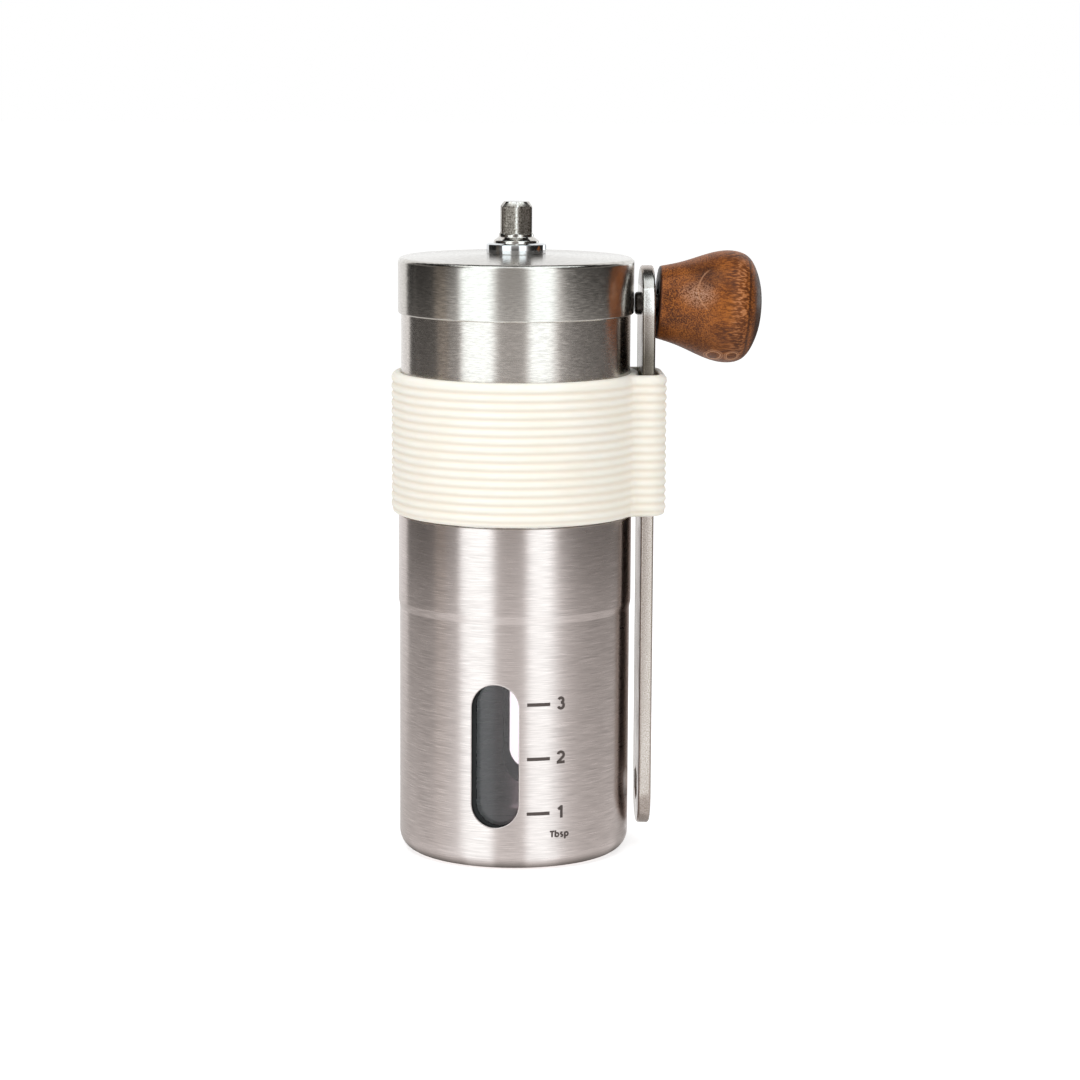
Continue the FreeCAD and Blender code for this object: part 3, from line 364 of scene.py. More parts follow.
def rounded(corners: Sequence[Corner], steps: int = 8, closed: bool = True) -> Array:
    """Outline through corners, where an arc of the corner's own radius replaces each sharp turn.

    Args:
        corners: two coordinates, and a radius for a corner that is rounded.
        steps: pieces of each arc.
        closed: whether the last corner joins the first; the ends of an open outline stay sharp.

    Returns:
        Rows of two coordinates.
    """
    spots = [np.array(corner[:2], float) for corner in corners]
    runs = []
    for index, corner in enumerate(corners):
        spot = spots[index]
        at_end = not closed and index in (0, len(corners) - 1)
        if len(corner) < 3 or corner[2] <= 0 or at_end:
            runs.append(spot[None])
            continue
        back = unit(spots[index - 1] - spot)
        ahead = unit(spots[(index + 1) % len(spots)] - spot)
        half = math.acos(float(back @ ahead)) / 2
        centre = spot + unit(back + ahead) * corner[2] / math.sin(half)
        first = spot + back * corner[2] / math.tan(half) - centre
        last = spot + ahead * corner[2] / math.tan(half) - centre
        begin = math.atan2(first[1], first[0])
        sweep = (math.atan2(last[1], last[0]) - begin + math.pi) % math.tau - math.pi
        angles = begin + sweep * np.linspace(0, 1, steps + 1)
        runs.append(centre + circle(angles, corner[2]))
    return np.vstack(runs)


def revolve(outline: Array, angles: Array) -> Array:
    """Points of an outline turned round Z: x is r cos a, y is r sin a, z is the height.

    Args:
        outline: rows of radius and height.
        angles: bearings in radians.

    Returns:
        Angles by outline by x, y, z.
    """
    x = np.outer(np.cos(angles), outline[:, 0])
    y = np.outer(np.sin(angles), outline[:, 0])
    return np.stack([x, y, np.broadcast_to(outline[:, 1], x.shape)], axis=-1)


def full_turn(columns: int, start: float = 0.0) -> Array:
    """Evenly spaced bearings of one turn, in radians."""
    return start + math.tau * np.arange(columns) / columns


def turned(corners: Sequence[Corner], columns: int = 160, steps: int = 8) -> Surface:
    """Closed piece turned round Z from an outline of radius and height with rounded corners."""
    return grid(revolve(rounded(corners, steps), full_turn(columns)), wrap=(True, True))


def at_height(loop: Array, height: float) -> Array:
    """A loop of x and y lifted to a height."""
    return np.column_stack([loop, np.full(len(loop), height)])


@dataclass(frozen=True)
class Finish:
    """A real material and how its surface was made.

    Attributes:
        name: the material's name in the scene.
        colour: sRGB hex of the plain surface.
        roughness: of the plain surface.
        metallic: 1 for bare metal.
    """

    name: str
    colour: str
    roughness: float
    metallic: float = 0.0

    def material(self) -> bpy.types.Material:
        """Build the finish as a node material, once.

        Returns:
            The material.
        """
        found = bpy.data.materials.get(self.name)
        if found:
            return found
        made = bpy.data.materials.new(self.name)
        tree = empty_tree(made)
        shader = add_node(tree, "ShaderNodeBsdfPrincipled", {
            "Base Color": srgb(self.colour), "Metallic": self.metallic, "Roughness": self.roughness})
        add_node(tree, "ShaderNodeOutputMaterial", {"Surface": shader})
        fill(shader, self.pattern(tree, add_node(tree, "ShaderNodeTexCoord").outputs["Object"]))
        return made

    def pattern(self, tree: Tree, place: Any) -> dict[str, Any]:
        """What the finish's own pattern gives to the shader's inputs, from the place in metres."""
        raise NotImplementedError(self.name)


@dataclass(frozen=True)
class BrushedSteel(Finish):
    """Stainless steel, turned against an abrasive belt, so fine lines run round the axis.

    The lines spread reflections upwards and downwards and leave them sharp sideways. Real lines are
    about 0.02 mm wide, and here they are drawn as wide as the picture can show.

    Attributes:
        line_length: how far one line runs, mm.
        line_width: mm.
        tilt: how far lines turn the surface sideways, which frays the edges of reflections.
        depth: how far lines turn it up and down.
        shade: darkest share of the colour in the lines.
        spread: how much further reflections spread up and down than sideways.
        spread_turn: direction of the spread, in turns from the lines.
    """

    metallic: float = 1.0
    line_length: float = 1.5
    line_width: float = 0.2
    tilt: float = 0.014
    depth: float = 0.06
    shade: float = 0.84
    spread: float = 0.9
    spread_turn: float = 0.25

    def pattern(self, tree: Tree, place: Any) -> dict[str, Any]:
        """Lines along circles: noise of x and y over the length, and of height plus radius over the width.

        Args:
            tree: the material's tree.
            place: socket of the place in metres.

        Returns:
            What the shader's inputs get.
        """
        level = add_node(tree, "ShaderNodeVectorMath", (place, (1, 1, 0)), operation="MULTIPLY")
        radius = add_node(tree, "ShaderNodeVectorMath", (level,), operation="LENGTH").outputs["Value"]
        height = add_node(tree, "ShaderNodeSeparateXYZ", (place,)).outputs[2]
        across = add_node(tree, "ShaderNodeMath", (radius, height), operation="ADD")
        count = add_node(tree, "ShaderNodeMath", (across, self.line_width * MM), operation="DIVIDE")
        lift = add_node(tree, "ShaderNodeCombineXYZ", {2: count})
        per_length = 1 / (self.line_length * MM)
        spot = add_node(tree, "ShaderNodeVectorMath", (place, (per_length, per_length, 0), lift),
                        operation="MULTIPLY_ADD")
        lines = add_node(tree, "ShaderNodeTexNoise", {"Vector": spot, "Scale": 1.0, "Detail": 2.0})
        parts = add_node(tree, "ShaderNodeSeparateColor", (lines.outputs[1],)).outputs
        wide = (0.25, 0.75)
        sideways, upwards, light = (add_node(tree, "ShaderNodeMapRange", (part, *span, middle - half, middle + half))
                                    for part, span, middle, half in (
                                        (parts[1], wide, 0.5, self.tilt / 2), (parts[2], wide, 0.5, self.depth / 2),
                                        (lines, NOISE_SPAN, 1.0, 1 - self.shade)))
        lean = add_node(tree, "ShaderNodeCombineXYZ", (sideways, upwards, 1.0))
        return {
            "Base Color": add_node(tree, "ShaderNodeVectorMath", {0: srgb(self.colour)[:3], "Scale": light},
                                   operation="SCALE"),
            "Roughness": add_node(tree, "ShaderNodeMapRange", (
                lines, *NOISE_SPAN, 1.12 * self.roughness, 0.88 * self.roughness)),
            "Normal": add_node(tree, "ShaderNodeNormalMap", {"Color": lean}, uv_map=BRUSH_MAP),
            "Tangent": add_node(tree, "ShaderNodeTangent", direction_type="UV_MAP", uv_map=BRUSH_MAP),
            "Anisotropic": self.spread, "Anisotropic Rotation": self.spread_turn}


@dataclass(frozen=True)
class GrainyMetal(Finish):
    """Metal with an even grain, such as a tumbled bar, a ground face or sintered bronze.

    Attributes:
        grit: width of a grain, mm.
        relief: height of the grain, mm.
        shade: hex of the grains' dark side.
        milled: hex of faces that were milled and left rough, which the "milled" attribute marks.
        milled_roughness: of those faces.
        stretches: hex of each stretch of painted shade or painted highlight, with the heights in mm
        where it begins, is full, is full still and ends.
    """

    metallic: float = 1.0
    grit: float = 0.3
    relief: float = 0.01
    shade: str = "#8d8781"
    milled: str = ""
    milled_roughness: float = 0.45
    stretches: tuple[tuple[str, Corner], ...] = ()

    def pattern(self, tree: Tree, place: Any) -> dict[str, Any]:
        """Speckle of the grit's size, raised a little, over slow patches twenty grains wide.

        Args:
            tree: the material's tree.
            place: socket of the place in metres.

        Returns:
            What the shader's inputs get.
        """
        speck, patch = (
            add_node(tree, "ShaderNodeTexNoise", {"Vector": place, "Scale": 1 / (width * MM), "Detail": finer})
            for width, finer in ((self.grit, 3.0), (20 * self.grit, 2.0)))
        colour = laid_over(tree, self.colour, self.shade, speck, (0.35, 0.6), (1.0, 0.0))
        rough = add_node(tree, "ShaderNodeMapRange", (
            patch, *NOISE_SPAN, 0.85 * self.roughness, 1.2 * self.roughness))
        if self.milled:
            cut = add_node(tree, "ShaderNodeAttribute", attribute_name=MILLED).outputs["Fac"]
            colour = laid_over(tree, colour, laid_over(tree, self.milled, self.shade, speck, NOISE_SPAN), cut)
            rough = add_node(tree, "ShaderNodeMapRange", (cut, 0.0, 1.0, rough, self.milled_roughness))
        height = add_node(tree, "ShaderNodeSeparateXYZ", (place,)).outputs[2]
        # Painted shade and painted highlight along the height, each mottled by the grain.
        for worn, levels in self.stretches:
            mottled = laid_over(tree, worn, self.shade, speck, (0.425, 0.525), (0.25, 0.0))
            colour = laid_over(tree, colour, mottled, stretch(tree, height, levels))
        return {"Base Color": colour, "Roughness": rough, "Normal": add_node(tree, "ShaderNodeBump", {
            "Height": speck, "Distance": self.relief * MM, "Strength": 1.0})}


@dataclass(frozen=True)
class Moulded(Finish):
    """Moulded plastic or rubber with the fine even texture of its mould.

    Attributes:
        texture: width of the mould's grain, mm.
        relief: height of the grain, mm.
        worn: hex of the slightly paler or darker patches that handling leaves.
        softness: share of light that passes into the material, as in rubber or nylon.
        groove: hex of the painted shade down in the grooves, which the "groove" attribute marks.
        patch: width of the patches, mm.
        glow: how far red, green and blue light passes into a soft material, mm.
    """

    texture: float = 0.25
    relief: float = 0.006
    worn: str = "#222224"
    softness: float = 0.0
    groove: str = ""
    patch: float = 9.0
    glow: Corner = (1.5, 1.05, 0.675)

    def pattern(self, tree: Tree, place: Any) -> dict[str, Any]:
        """Mould grain as relief, slow patches in colour and roughness, and painted shade down in the grooves.

        Args:
            tree: the material's tree.
            place: socket of the place in metres.

        Returns:
            What the shader's inputs get.
        """
        fine, patch = (
            add_node(tree, "ShaderNodeTexNoise", {"Vector": place, "Scale": 1 / (width * MM), "Detail": finer})
            for width, finer in ((self.texture, 2.0), (self.patch, 3.0)))
        colour = laid_over(tree, self.colour, self.worn, patch, (0.35, 0.75))
        # Painted shade down in the grooves, by how deep each point lies.
        if self.groove:
            depth = add_node(tree, "ShaderNodeAttribute", attribute_name=GROOVE).outputs["Fac"]
            colour = laid_over(tree, colour, self.groove, depth)
        rough = add_node(tree, "ShaderNodeMapRange", (
            patch, *NOISE_SPAN, 0.9 * self.roughness, 1.1 * self.roughness))
        given = {"Base Color": colour, "Roughness": rough, "Normal": add_node(tree, "ShaderNodeBump", {
            "Height": fine, "Distance": self.relief * MM, "Strength": 1.0})}
        if self.softness:
            reach = max(self.glow)
            given |= {"Subsurface Weight": self.softness, "Subsurface Scale": reach * MM,
                      "Subsurface Radius": [part / reach for part in self.glow]}
        return given


@dataclass(frozen=True)
class ClearPlastic(Finish):
    """Clear moulded plastic, glossy, with the faint haze of a washed cup.

    Attributes:
        ior: bends light as SAN or acrylic does.
        haze: width of the hazy patches, mm.
    """

    ior: float = 1.5
    haze: float = 12.0

    def pattern(self, tree: Tree, place: Any) -> dict[str, Any]:
        """Haze in slow patches.

        Args:
            tree: the material's tree.
            place: socket of the place in metres.

        Returns:
            What the shader's inputs get.
        """
        patch = add_node(tree, "ShaderNodeTexNoise", {"Vector": place, "Scale": 1 / (self.haze * MM), "Detail": 2.0})
        rough = add_node(tree, "ShaderNodeMapRange", (
            patch, *NOISE_SPAN, 0.5 * self.roughness, 1.5 * self.roughness))
        return {"Roughness": rough, "IOR": self.ior, "Transmission Weight": 1.0}


@dataclass(frozen=True)
class StainedWood(Finish):
    """Turned hardwood, stained brown and lacquered to a low gloss.

    Beech has rays and pores of 0.05 to 0.3 mm, and the picture shows them as a fine speckle.

    Attributes:
        pivot: place on the knob's line, mm.
        droop: slope of that line, degrees.
        foot: reach of the knob behind the pivot, mm.
        deep: hex of the fibres, the knots and the painted shade.
        pale: hex of the open grain.
        worn: hex of scratches and rings.
        sheen: hex of the painted highlight, a pale sheen on the lacquer.
        pore: width of the speckle of rays and pores, mm.
        stroke: width of the fibres near the end, mm.
        draw_out: a fibre's width over its length.
        patch: width of the stain's patches, mm.
        relief: height of the grain, mm.
        wobble: width and reach of uneven edges, mm.
        stroke_levels: where the speckle turns into fibres, mm.
        worn_levels: where rubbed fibres begin, are full, are full still and end, mm.
        underside: heights between which the painted shade on the lower side ends, mm.
        end_bands: levels in mm and darkness of the painted shade at the end: a dark line and the darker rounded end.
        foot_levels: where the painted shade at the foot, beside the arm, ends, mm.
        scratch: place along the line, height and radius of a pale scratch, mm.
        scratch_half: half of its width over its radius.
        scratch_fade: where it fades, mm from its left end.
        dark_spot: middle and half sizes of a patch of painted shade, mm.
        rubbed_spot: middle and half sizes of the painted highlight, mm.
        knots: place along the line, bearing in degrees, and half sizes, mm.
        knot_away: distance of the knots from the line, mm.
        knot_shift: how far they lie to the side and up, mm.
        knot_depth: their half size towards the line, mm.
        knot_rings: size over the knot's, and share, of each pale ring.
        lacquer: its weight and roughness, and the gloss of the wood below.
    """

    pivot: Corner = (0.0, 0.0, 0.0)
    droop: float = 0.0
    foot: float = 4.1
    deep: str = "#301404"
    pale: str = "#b56c2a"
    worn: str = "#c08a64"
    sheen: str = "#ab8c78"
    pore: float = 0.27
    stroke: float = 0.34
    draw_out: float = 0.28
    patch: float = 4.5
    relief: float = 0.05
    wobble: tuple[float, float] = (2.2222, 0.7)
    stroke_levels: tuple[float, float] = (5.0, 11.0)
    worn_levels: Corner = (9.8, 11.5, 13.0, 13.6)
    underside: tuple[float, float] = (-12.0, -2.0)
    end_bands: tuple[tuple[Corner, float], ...] = (((13.5, 13.8, 13.9, 14.4), 0.75), ((14.5, 15.6, 30.0, 31.0), 0.92))
    foot_levels: tuple[float, float] = (0.1, 0.4)
    scratch: tuple[float, float, float] = (8.3, 4.1, 4.6)
    scratch_half: float = 0.034
    scratch_fade: tuple[float, float] = (1.0, 2.2)
    dark_spot: Corner = (5.5, -6.0, 7.0, 4.5, 9.0, 3.0)
    rubbed_spot: Corner = (3.9, -8.5, 3.0, 4.0, 6.0, 2.8)
    knots: tuple[tuple[float, float, float, float], ...] = ()
    knot_away: float = 11.2
    knot_shift: float = 0.35
    knot_depth: float = 4.0
    knot_rings: tuple[tuple[float, float], ...] = ((1.0, 0.7), (1.3, 0.4))
    lacquer: tuple[float, float, float] = (0.12, 0.2, 0.15)

    @staticmethod
    def spot(tree: Tree, place: Any, middle: Corner, sizes: Corner) -> Any:
        """Distance from a spot in the wood, 1 on its ellipsoid.

        Args:
            tree: the material's tree.
            place: node of the place in metres.
            middle: the spot's middle, mm.
            sizes: the ellipsoid's half sizes, mm.

        Returns:
            Socket of the distance.
        """
        away = add_node(tree, "ShaderNodeVectorMath", (place, [value * MM for value in middle]), operation="SUBTRACT")
        near = add_node(tree, "ShaderNodeVectorMath", (away, [value * MM for value in sizes]), operation="DIVIDE")
        return add_node(tree, "ShaderNodeVectorMath", (near,), operation="LENGTH").outputs["Value"]

    def grain(self, tree: Tree, place: Any, along: Any) -> tuple[Any, Any, Any]:
        """The stained grain: slow patches under a speckle that turns into short fibres near the end.

        Args:
            tree: the material's tree.
            place: node of the place from the pivot, metres.
            along: socket of the distance along the knob's line, metres.

        Returns:
            The colour, the speckle, and the grain that stands out as relief.
        """
        drawn = add_node(tree, "ShaderNodeVectorMath", (place, (self.draw_out, 1.0, 1.0)), operation="MULTIPLY")
        speckle, patch, stroke = (
            add_node(tree, "ShaderNodeTexNoise", {"Vector": spot, "Scale": 1 / (width * MM), "Detail": finer})
            for spot, width, finer in (
                (place, self.pore, 3.0), (place, self.patch, 4.0), (drawn, self.stroke, 2.0)))
        further = add_node(tree, "ShaderNodeMapRange", (along, *(level * MM for level in self.stroke_levels)))
        fibre, weight = (add_node(tree, "ShaderNodeMapRange", (further, 0.0, 1.0, *ends))
                         for ends in ((speckle, stroke), (0.8, 0.6)))
        patchy = add_node(tree, "ShaderNodeMapRange", (patch, 0.4, 0.6, 0.1, 0.5))
        colour = self.colour
        for ink, pattern, span, shares in (
                (self.pale, patch, (0.45, 0.75), (0.0, 0.5)), (self.deep, patch, (0.3, 0.52), (0.65, 0.0)),
                (self.deep, fibre, (0.36, 0.52), (weight, 0.0)), (self.pale, fibre, (0.5, 0.66), (0.0, 0.6)),
                (self.worn, stroke, (0.5, 0.6), (0.0, stretch(tree, along, self.worn_levels, patchy)))):
            colour = laid_over(tree, colour, ink, pattern, span, shares)
        return colour, speckle, fibre

    def with_knots(self, tree: Tree, place: Any, colour: Any) -> Any:
        """Lay small dark knots, each with pale rings, over a colour.

        Args:
            tree: the material's tree.
            place: node of the place from the pivot, metres.
            colour: socket of the colour.

        Returns:
            Socket of the new colour.
        """
        for along, bearing, wide, tall in self.knots:
            side, up = circle(math.radians(bearing), self.knot_away) + self.knot_shift
            spot = self.spot(tree, place, (along, side, up), (wide, self.knot_depth, tall))
            colour = laid_over(tree, colour, self.deep, spot, (0.2, 0.7), (0.3, 0.0))
            for ring, share in self.knot_rings:
                line = add_node(tree, "ShaderNodeMath", (spot, ring, 0.1), operation="COMPARE")
                colour = laid_over(tree, colour, self.worn, line, shares=(0.0, share))
        return colour

    def with_scratch(self, tree: Tree, place: Any, axes: Sequence[Any], colour: Any) -> Any:
        """Lay the pale scratch over a colour: the left part of a circle, on the side of the knob with y below 0.

        Args:
            tree: the material's tree.
            place: node of the place from the pivot, metres.
            axes: sockets of its three coordinates.
            colour: socket of the colour.

        Returns:
            Socket of the new colour.
        """
        along, height, radius = self.scratch
        endless = 900.0
        spot = self.spot(tree, place, (along, 0.0, height), (radius, endless, radius))
        line = add_node(tree, "ShaderNodeMath", (spot, 1.0, self.scratch_half), operation="COMPARE")
        fade = add_node(tree, "ShaderNodeMapRange", (
            axes[0], *((along - radius + level) * MM for level in self.scratch_fade), 0.42, 0.0))
        fade = add_node(tree, "ShaderNodeMapRange", (axes[1], -2.0 * MM, 0.0, fade, 0.0))
        return laid_over(tree, colour, self.worn, line, shares=(0.0, fade))

    def pattern(self, tree: Tree, place: Any) -> dict[str, Any]:
        """The grain, and over it painted shade on the lower side and in a patch, a painted highlight, knots, a scratch,
        and painted shade at the end and at the foot.

        Args:
            tree: the material's tree.
            place: socket of the place in metres.

        Returns:
            What the shader's inputs get.
        """
        own = add_node(tree, "ShaderNodeMapping", {
            "Vector": place, "Location": [value * MM for value in self.pivot],
            "Rotation": (0.0, math.radians(self.droop), 0.0)}, vector_type="TEXTURE")
        axes = add_node(tree, "ShaderNodeSeparateXYZ", (own,)).outputs
        colour, speckle, fibre = self.grain(tree, own, axes[0])
        width, reach = self.wobble
        swirl = add_node(tree, "ShaderNodeTexNoise", {"Vector": own, "Scale": 1 / (width * MM), "Detail": 2.0})
        wobbly = add_node(tree, "ShaderNodeVectorMath", (swirl.outputs[1], (reach * MM,) * 3, own),
                          operation="MULTIPLY_ADD")
        # Distances from the patch of painted shade and from the painted highlight's spot.
        dark, rubbed = (self.spot(tree, wobbly, spot[:3], spot[3:]) for spot in (self.dark_spot, self.rubbed_spot))
        # Share of the painted highlight, the most in the middle of its spot.
        bare = add_node(tree, "ShaderNodeMapRange", (rubbed, 0.2, 1.1, 0.75, 0.0))
        low, high = (level * MM for level in self.underside)
        # Painted shade towards the lower side and in a patch, and the painted highlight over the speckle.
        for ink, pattern, span, shares in (
                (self.deep, axes[2], (low, high), (0.5, 0.0)), (self.deep, dark, (0.2, 1.2), (0.6, 0.0)),
                (self.sheen, speckle, (0.42, 0.6), (0.0, bare))):
            colour = laid_over(tree, colour, ink, pattern, span, shares)
        colour = self.with_scratch(tree, wobbly, axes, self.with_knots(tree, wobbly, colour))
        # Painted shade: a dark line and the darker rounded end, then a dark rim at the foot beside the arm.
        for levels, share in self.end_bands:
            colour = laid_over(tree, colour, self.deep, stretch(tree, axes[0], levels, share))
        rim = [(level - self.foot) * MM for level in self.foot_levels]
        colour = laid_over(tree, colour, self.deep, axes[0], rim, (1.0, 0.0))
        weight, coat_roughness, gloss = self.lacquer
        rough = add_node(tree, "ShaderNodeMapRange", (
            speckle, *NOISE_SPAN, 1.2 * self.roughness, 0.8 * self.roughness))
        bump = add_node(tree, "ShaderNodeBump", {"Height": fibre, "Distance": self.relief * MM, "Strength": 1.0})
        return {"Base Color": colour, "Roughness": rough, "Normal": bump,
                "Coat Weight": weight, "Coat Roughness": coat_roughness, "Specular IOR Level": gloss}


# Drawn stainless sheet, brushed round the axis: reflections smear up and down into soft upright bands.
CUP_STEEL = BrushedSteel("brushed_stainless_cup", "#cabfbb", 0.3, line_length=4.0, line_width=0.15, depth=0.05,
                         shade=0.87)
TUBE_STEEL = BrushedSteel("brushed_stainless_tube", "#c8c1bb", 0.25, line_length=1.4)
LID_STEEL = BrushedSteel("brushed_stainless_lid", "#c9c4be", 0.22, tilt=0.01, depth=0.04, shade=0.88, spread=0.6)
# Chrome on a buffed ring: a cold mirror, sharp at every angle.
CHROME = GrainyMetal("polished_chrome", "#dcdddf", 0.05, grit=0.8, relief=0.0004, shade="#d2d3d5")
# Bar turned bright and then milled to a hexagon: mirror cones beside dull brownish flats.
SHAFT_STEEL = GrainyMetal("turned_and_milled_steel", "#d4d2cf", 0.1, grit=0.3, relief=0.003, shade="#b5aca2",
                          milled="#473f38", milled_roughness=0.4)
# Stainless bar tumbled with stones: an even satin grain, with painted shade below the axle, a painted highlight round
# it and a little painted shade at the top end.
CRANK_STEEL = GrainyMetal("tumbled_stainless_bar", "#bdb2ac", 0.24, grit=0.25, relief=0.012, shade="#a09489",
                          stretches=(("#665f56", (75.0, 90.0, 103.0, 112.0)), ("#f2f1ee", (111.5, 113.5, 117.1, 117.5)),
                                     ("#b5b1ad", (117.1, 117.5, 119.8, 120.4))))
# Pressed small parts with a thin coat of zinc: pale grey, softly shiny.
PLATED_STEEL = GrainyMetal("zinc_plated_steel", "#b9bab8", 0.28, grit=0.6, relief=0.003, shade="#a3a4a0")
# Hard drawn wire: mid grey with a smooth gloss.
SPRING_STEEL = GrainyMetal("drawn_spring_wire", "#8f9092", 0.25, grit=0.2, relief=0.003, shade="#77787a")
# Turned and oiled pin: dark grey, its peened end a little uneven.
AXLE_STEEL = GrainyMetal("turned_steel_axle", "#4d4844", 0.3, grit=0.2, relief=0.005, shade="#37332f")
# Bronze powder pressed and sintered: brown gold, open pores, no gloss.
BRONZE = GrainyMetal("sintered_bronze", "#a8783f", 0.42, grit=0.18, relief=0.01, shade="#6f4c25")
# Silicone from a blasted mould: matt ivory that light enters a little, with a warmer painted shade down in the grooves.
SILICONE = Moulded("ivory_silicone", "#f4f0e6", 0.6, texture=0.3, relief=0.004, worn="#f0ebde",
                   softness=0.15, groove="#ebe2d3")
# Injection moulded polypropylene and acetal: plain colours with a fine satin mould grain.
BLACK_PLASTIC = Moulded("black_moulded_plastic", "#1b1b1d", 0.5, worn="#242426")
GREY_PLASTIC = Moulded("grey_moulded_plastic", "#55565a", 0.48, worn="#606166")
WHITE_PLASTIC = Moulded("white_moulded_plastic", "#dcd8cf", 0.45, worn="#d0cabd")
# Moulded rubber: black without a highlight, for the seals that give the painted shade along the windows' edges.
BLACK_RUBBER = Moulded("black_rubber", "#030303", 0.8, worn="#060606")
# Dyed nylon, rough from its mould: almost black, dark enough that the washer also gives the painted shade in the gap
# between the arm and the knob.
NYLON = Moulded("dark_nylon", "#060505", 0.85, worn="#0a0908")
# Alumina fired without a glaze: off-white, dense, light enters its edges.
CERAMIC = Moulded("fired_white_ceramic", "#e9e5dc", 0.32, texture=0.4, relief=0.008, worn="#dad3c4", softness=0.05)
# Pad-printed enamel ink: a thin matt brown-black film.
INK = Moulded("printed_ink", "#403633", 0.6, texture=0.2, relief=0.002, worn="#4c413d")
# Clear SAN: glossy, with the edges and the haze of a washed cup.
CLEAR = ClearPlastic("clear_moulded_plastic", "#f9f3f7", 0.03)


@dataclass(frozen=True)
class Piece:
    """Where a new piece belongs and how its surface becomes an object.

    Attributes:
        name: its name in the scene.
        body: the CAD body that it moves with.
        finish: what it is made of.
        slot: name of a material slot; not used.
        stands_for: the CAD nodes that it replaces.
        wall: thickness to give an open surface, inwards, mm.
        edge: radius of its sharp edges, mm.
        crease: edges that turn by more than this stay crisp, degrees.
    """

    name: str
    body: Body
    finish: Finish
    slot: str = ""
    stands_for: tuple[str, ...] = ()
    wall: float = 0.0
    edge: float = 0.0
    crease: float = 32.0

    def thicken(self, obj: Object) -> None:
        """Give an object its wall and its rounded edges, as geometry.

        Args:
            obj: the object, whose mesh is replaced by the finished one.
        """
        if self.wall:
            solidify = obj.modifiers.new("wall", "SOLIDIFY")
            solidify.thickness = self.wall * MM
            solidify.offset = -1.0
            solidify.use_even_offset = True
            solidify.use_quality_normals = True
        if self.edge:
            bevel = obj.modifiers.new("edges", "BEVEL")
            bevel.width = self.edge * MM
            bevel.segments = 3
            bevel.limit_method = "ANGLE"
            bevel.angle_limit = math.radians(40)
        if obj.modifiers:
            graph = bpy.context.evaluated_depsgraph_get()
            finished = bpy.data.meshes.new_from_object(obj.evaluated_get(graph))
            obj.modifiers.clear()
            obj.data = finished

    def make(self, surface: Surface, rides: bool = True) -> Object:
        """Build the object.

        Args:
            surface: the shape.
            rides: False for a piece that is left unattached to any body.

        Returns:
            The object, at the origin, with its place in its mesh.
        """
        obj = put_in_scene(self.name, surface.mesh(self.name))
        obj.data.materials.append(self.finish.material())
        self.thicken(obj)
        obj.data.shade_smooth()
        obj.data.set_sharp_from_angle(angle=math.radians(self.crease))
        if rides:
            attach(obj, self.body.value)
        if self.stands_for:
            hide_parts(*self.stands_for)
        LOG.info("%s: %d faces, %s", self.name, len(obj.data.polygons), self.finish.name)
        return obj


def dress(finish: Finish, *nodes: str) -> None:
    """Give CAD nodes, whose shape stays, their real finish.

    Args:
        finish: what they are made of.
        nodes: their names.
    """
    for name in nodes:
        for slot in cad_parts[name].material_slots:
            slot.material = finish.material()
        LOG.info("%s: kept from the CAD model, %s", name, finish.name)


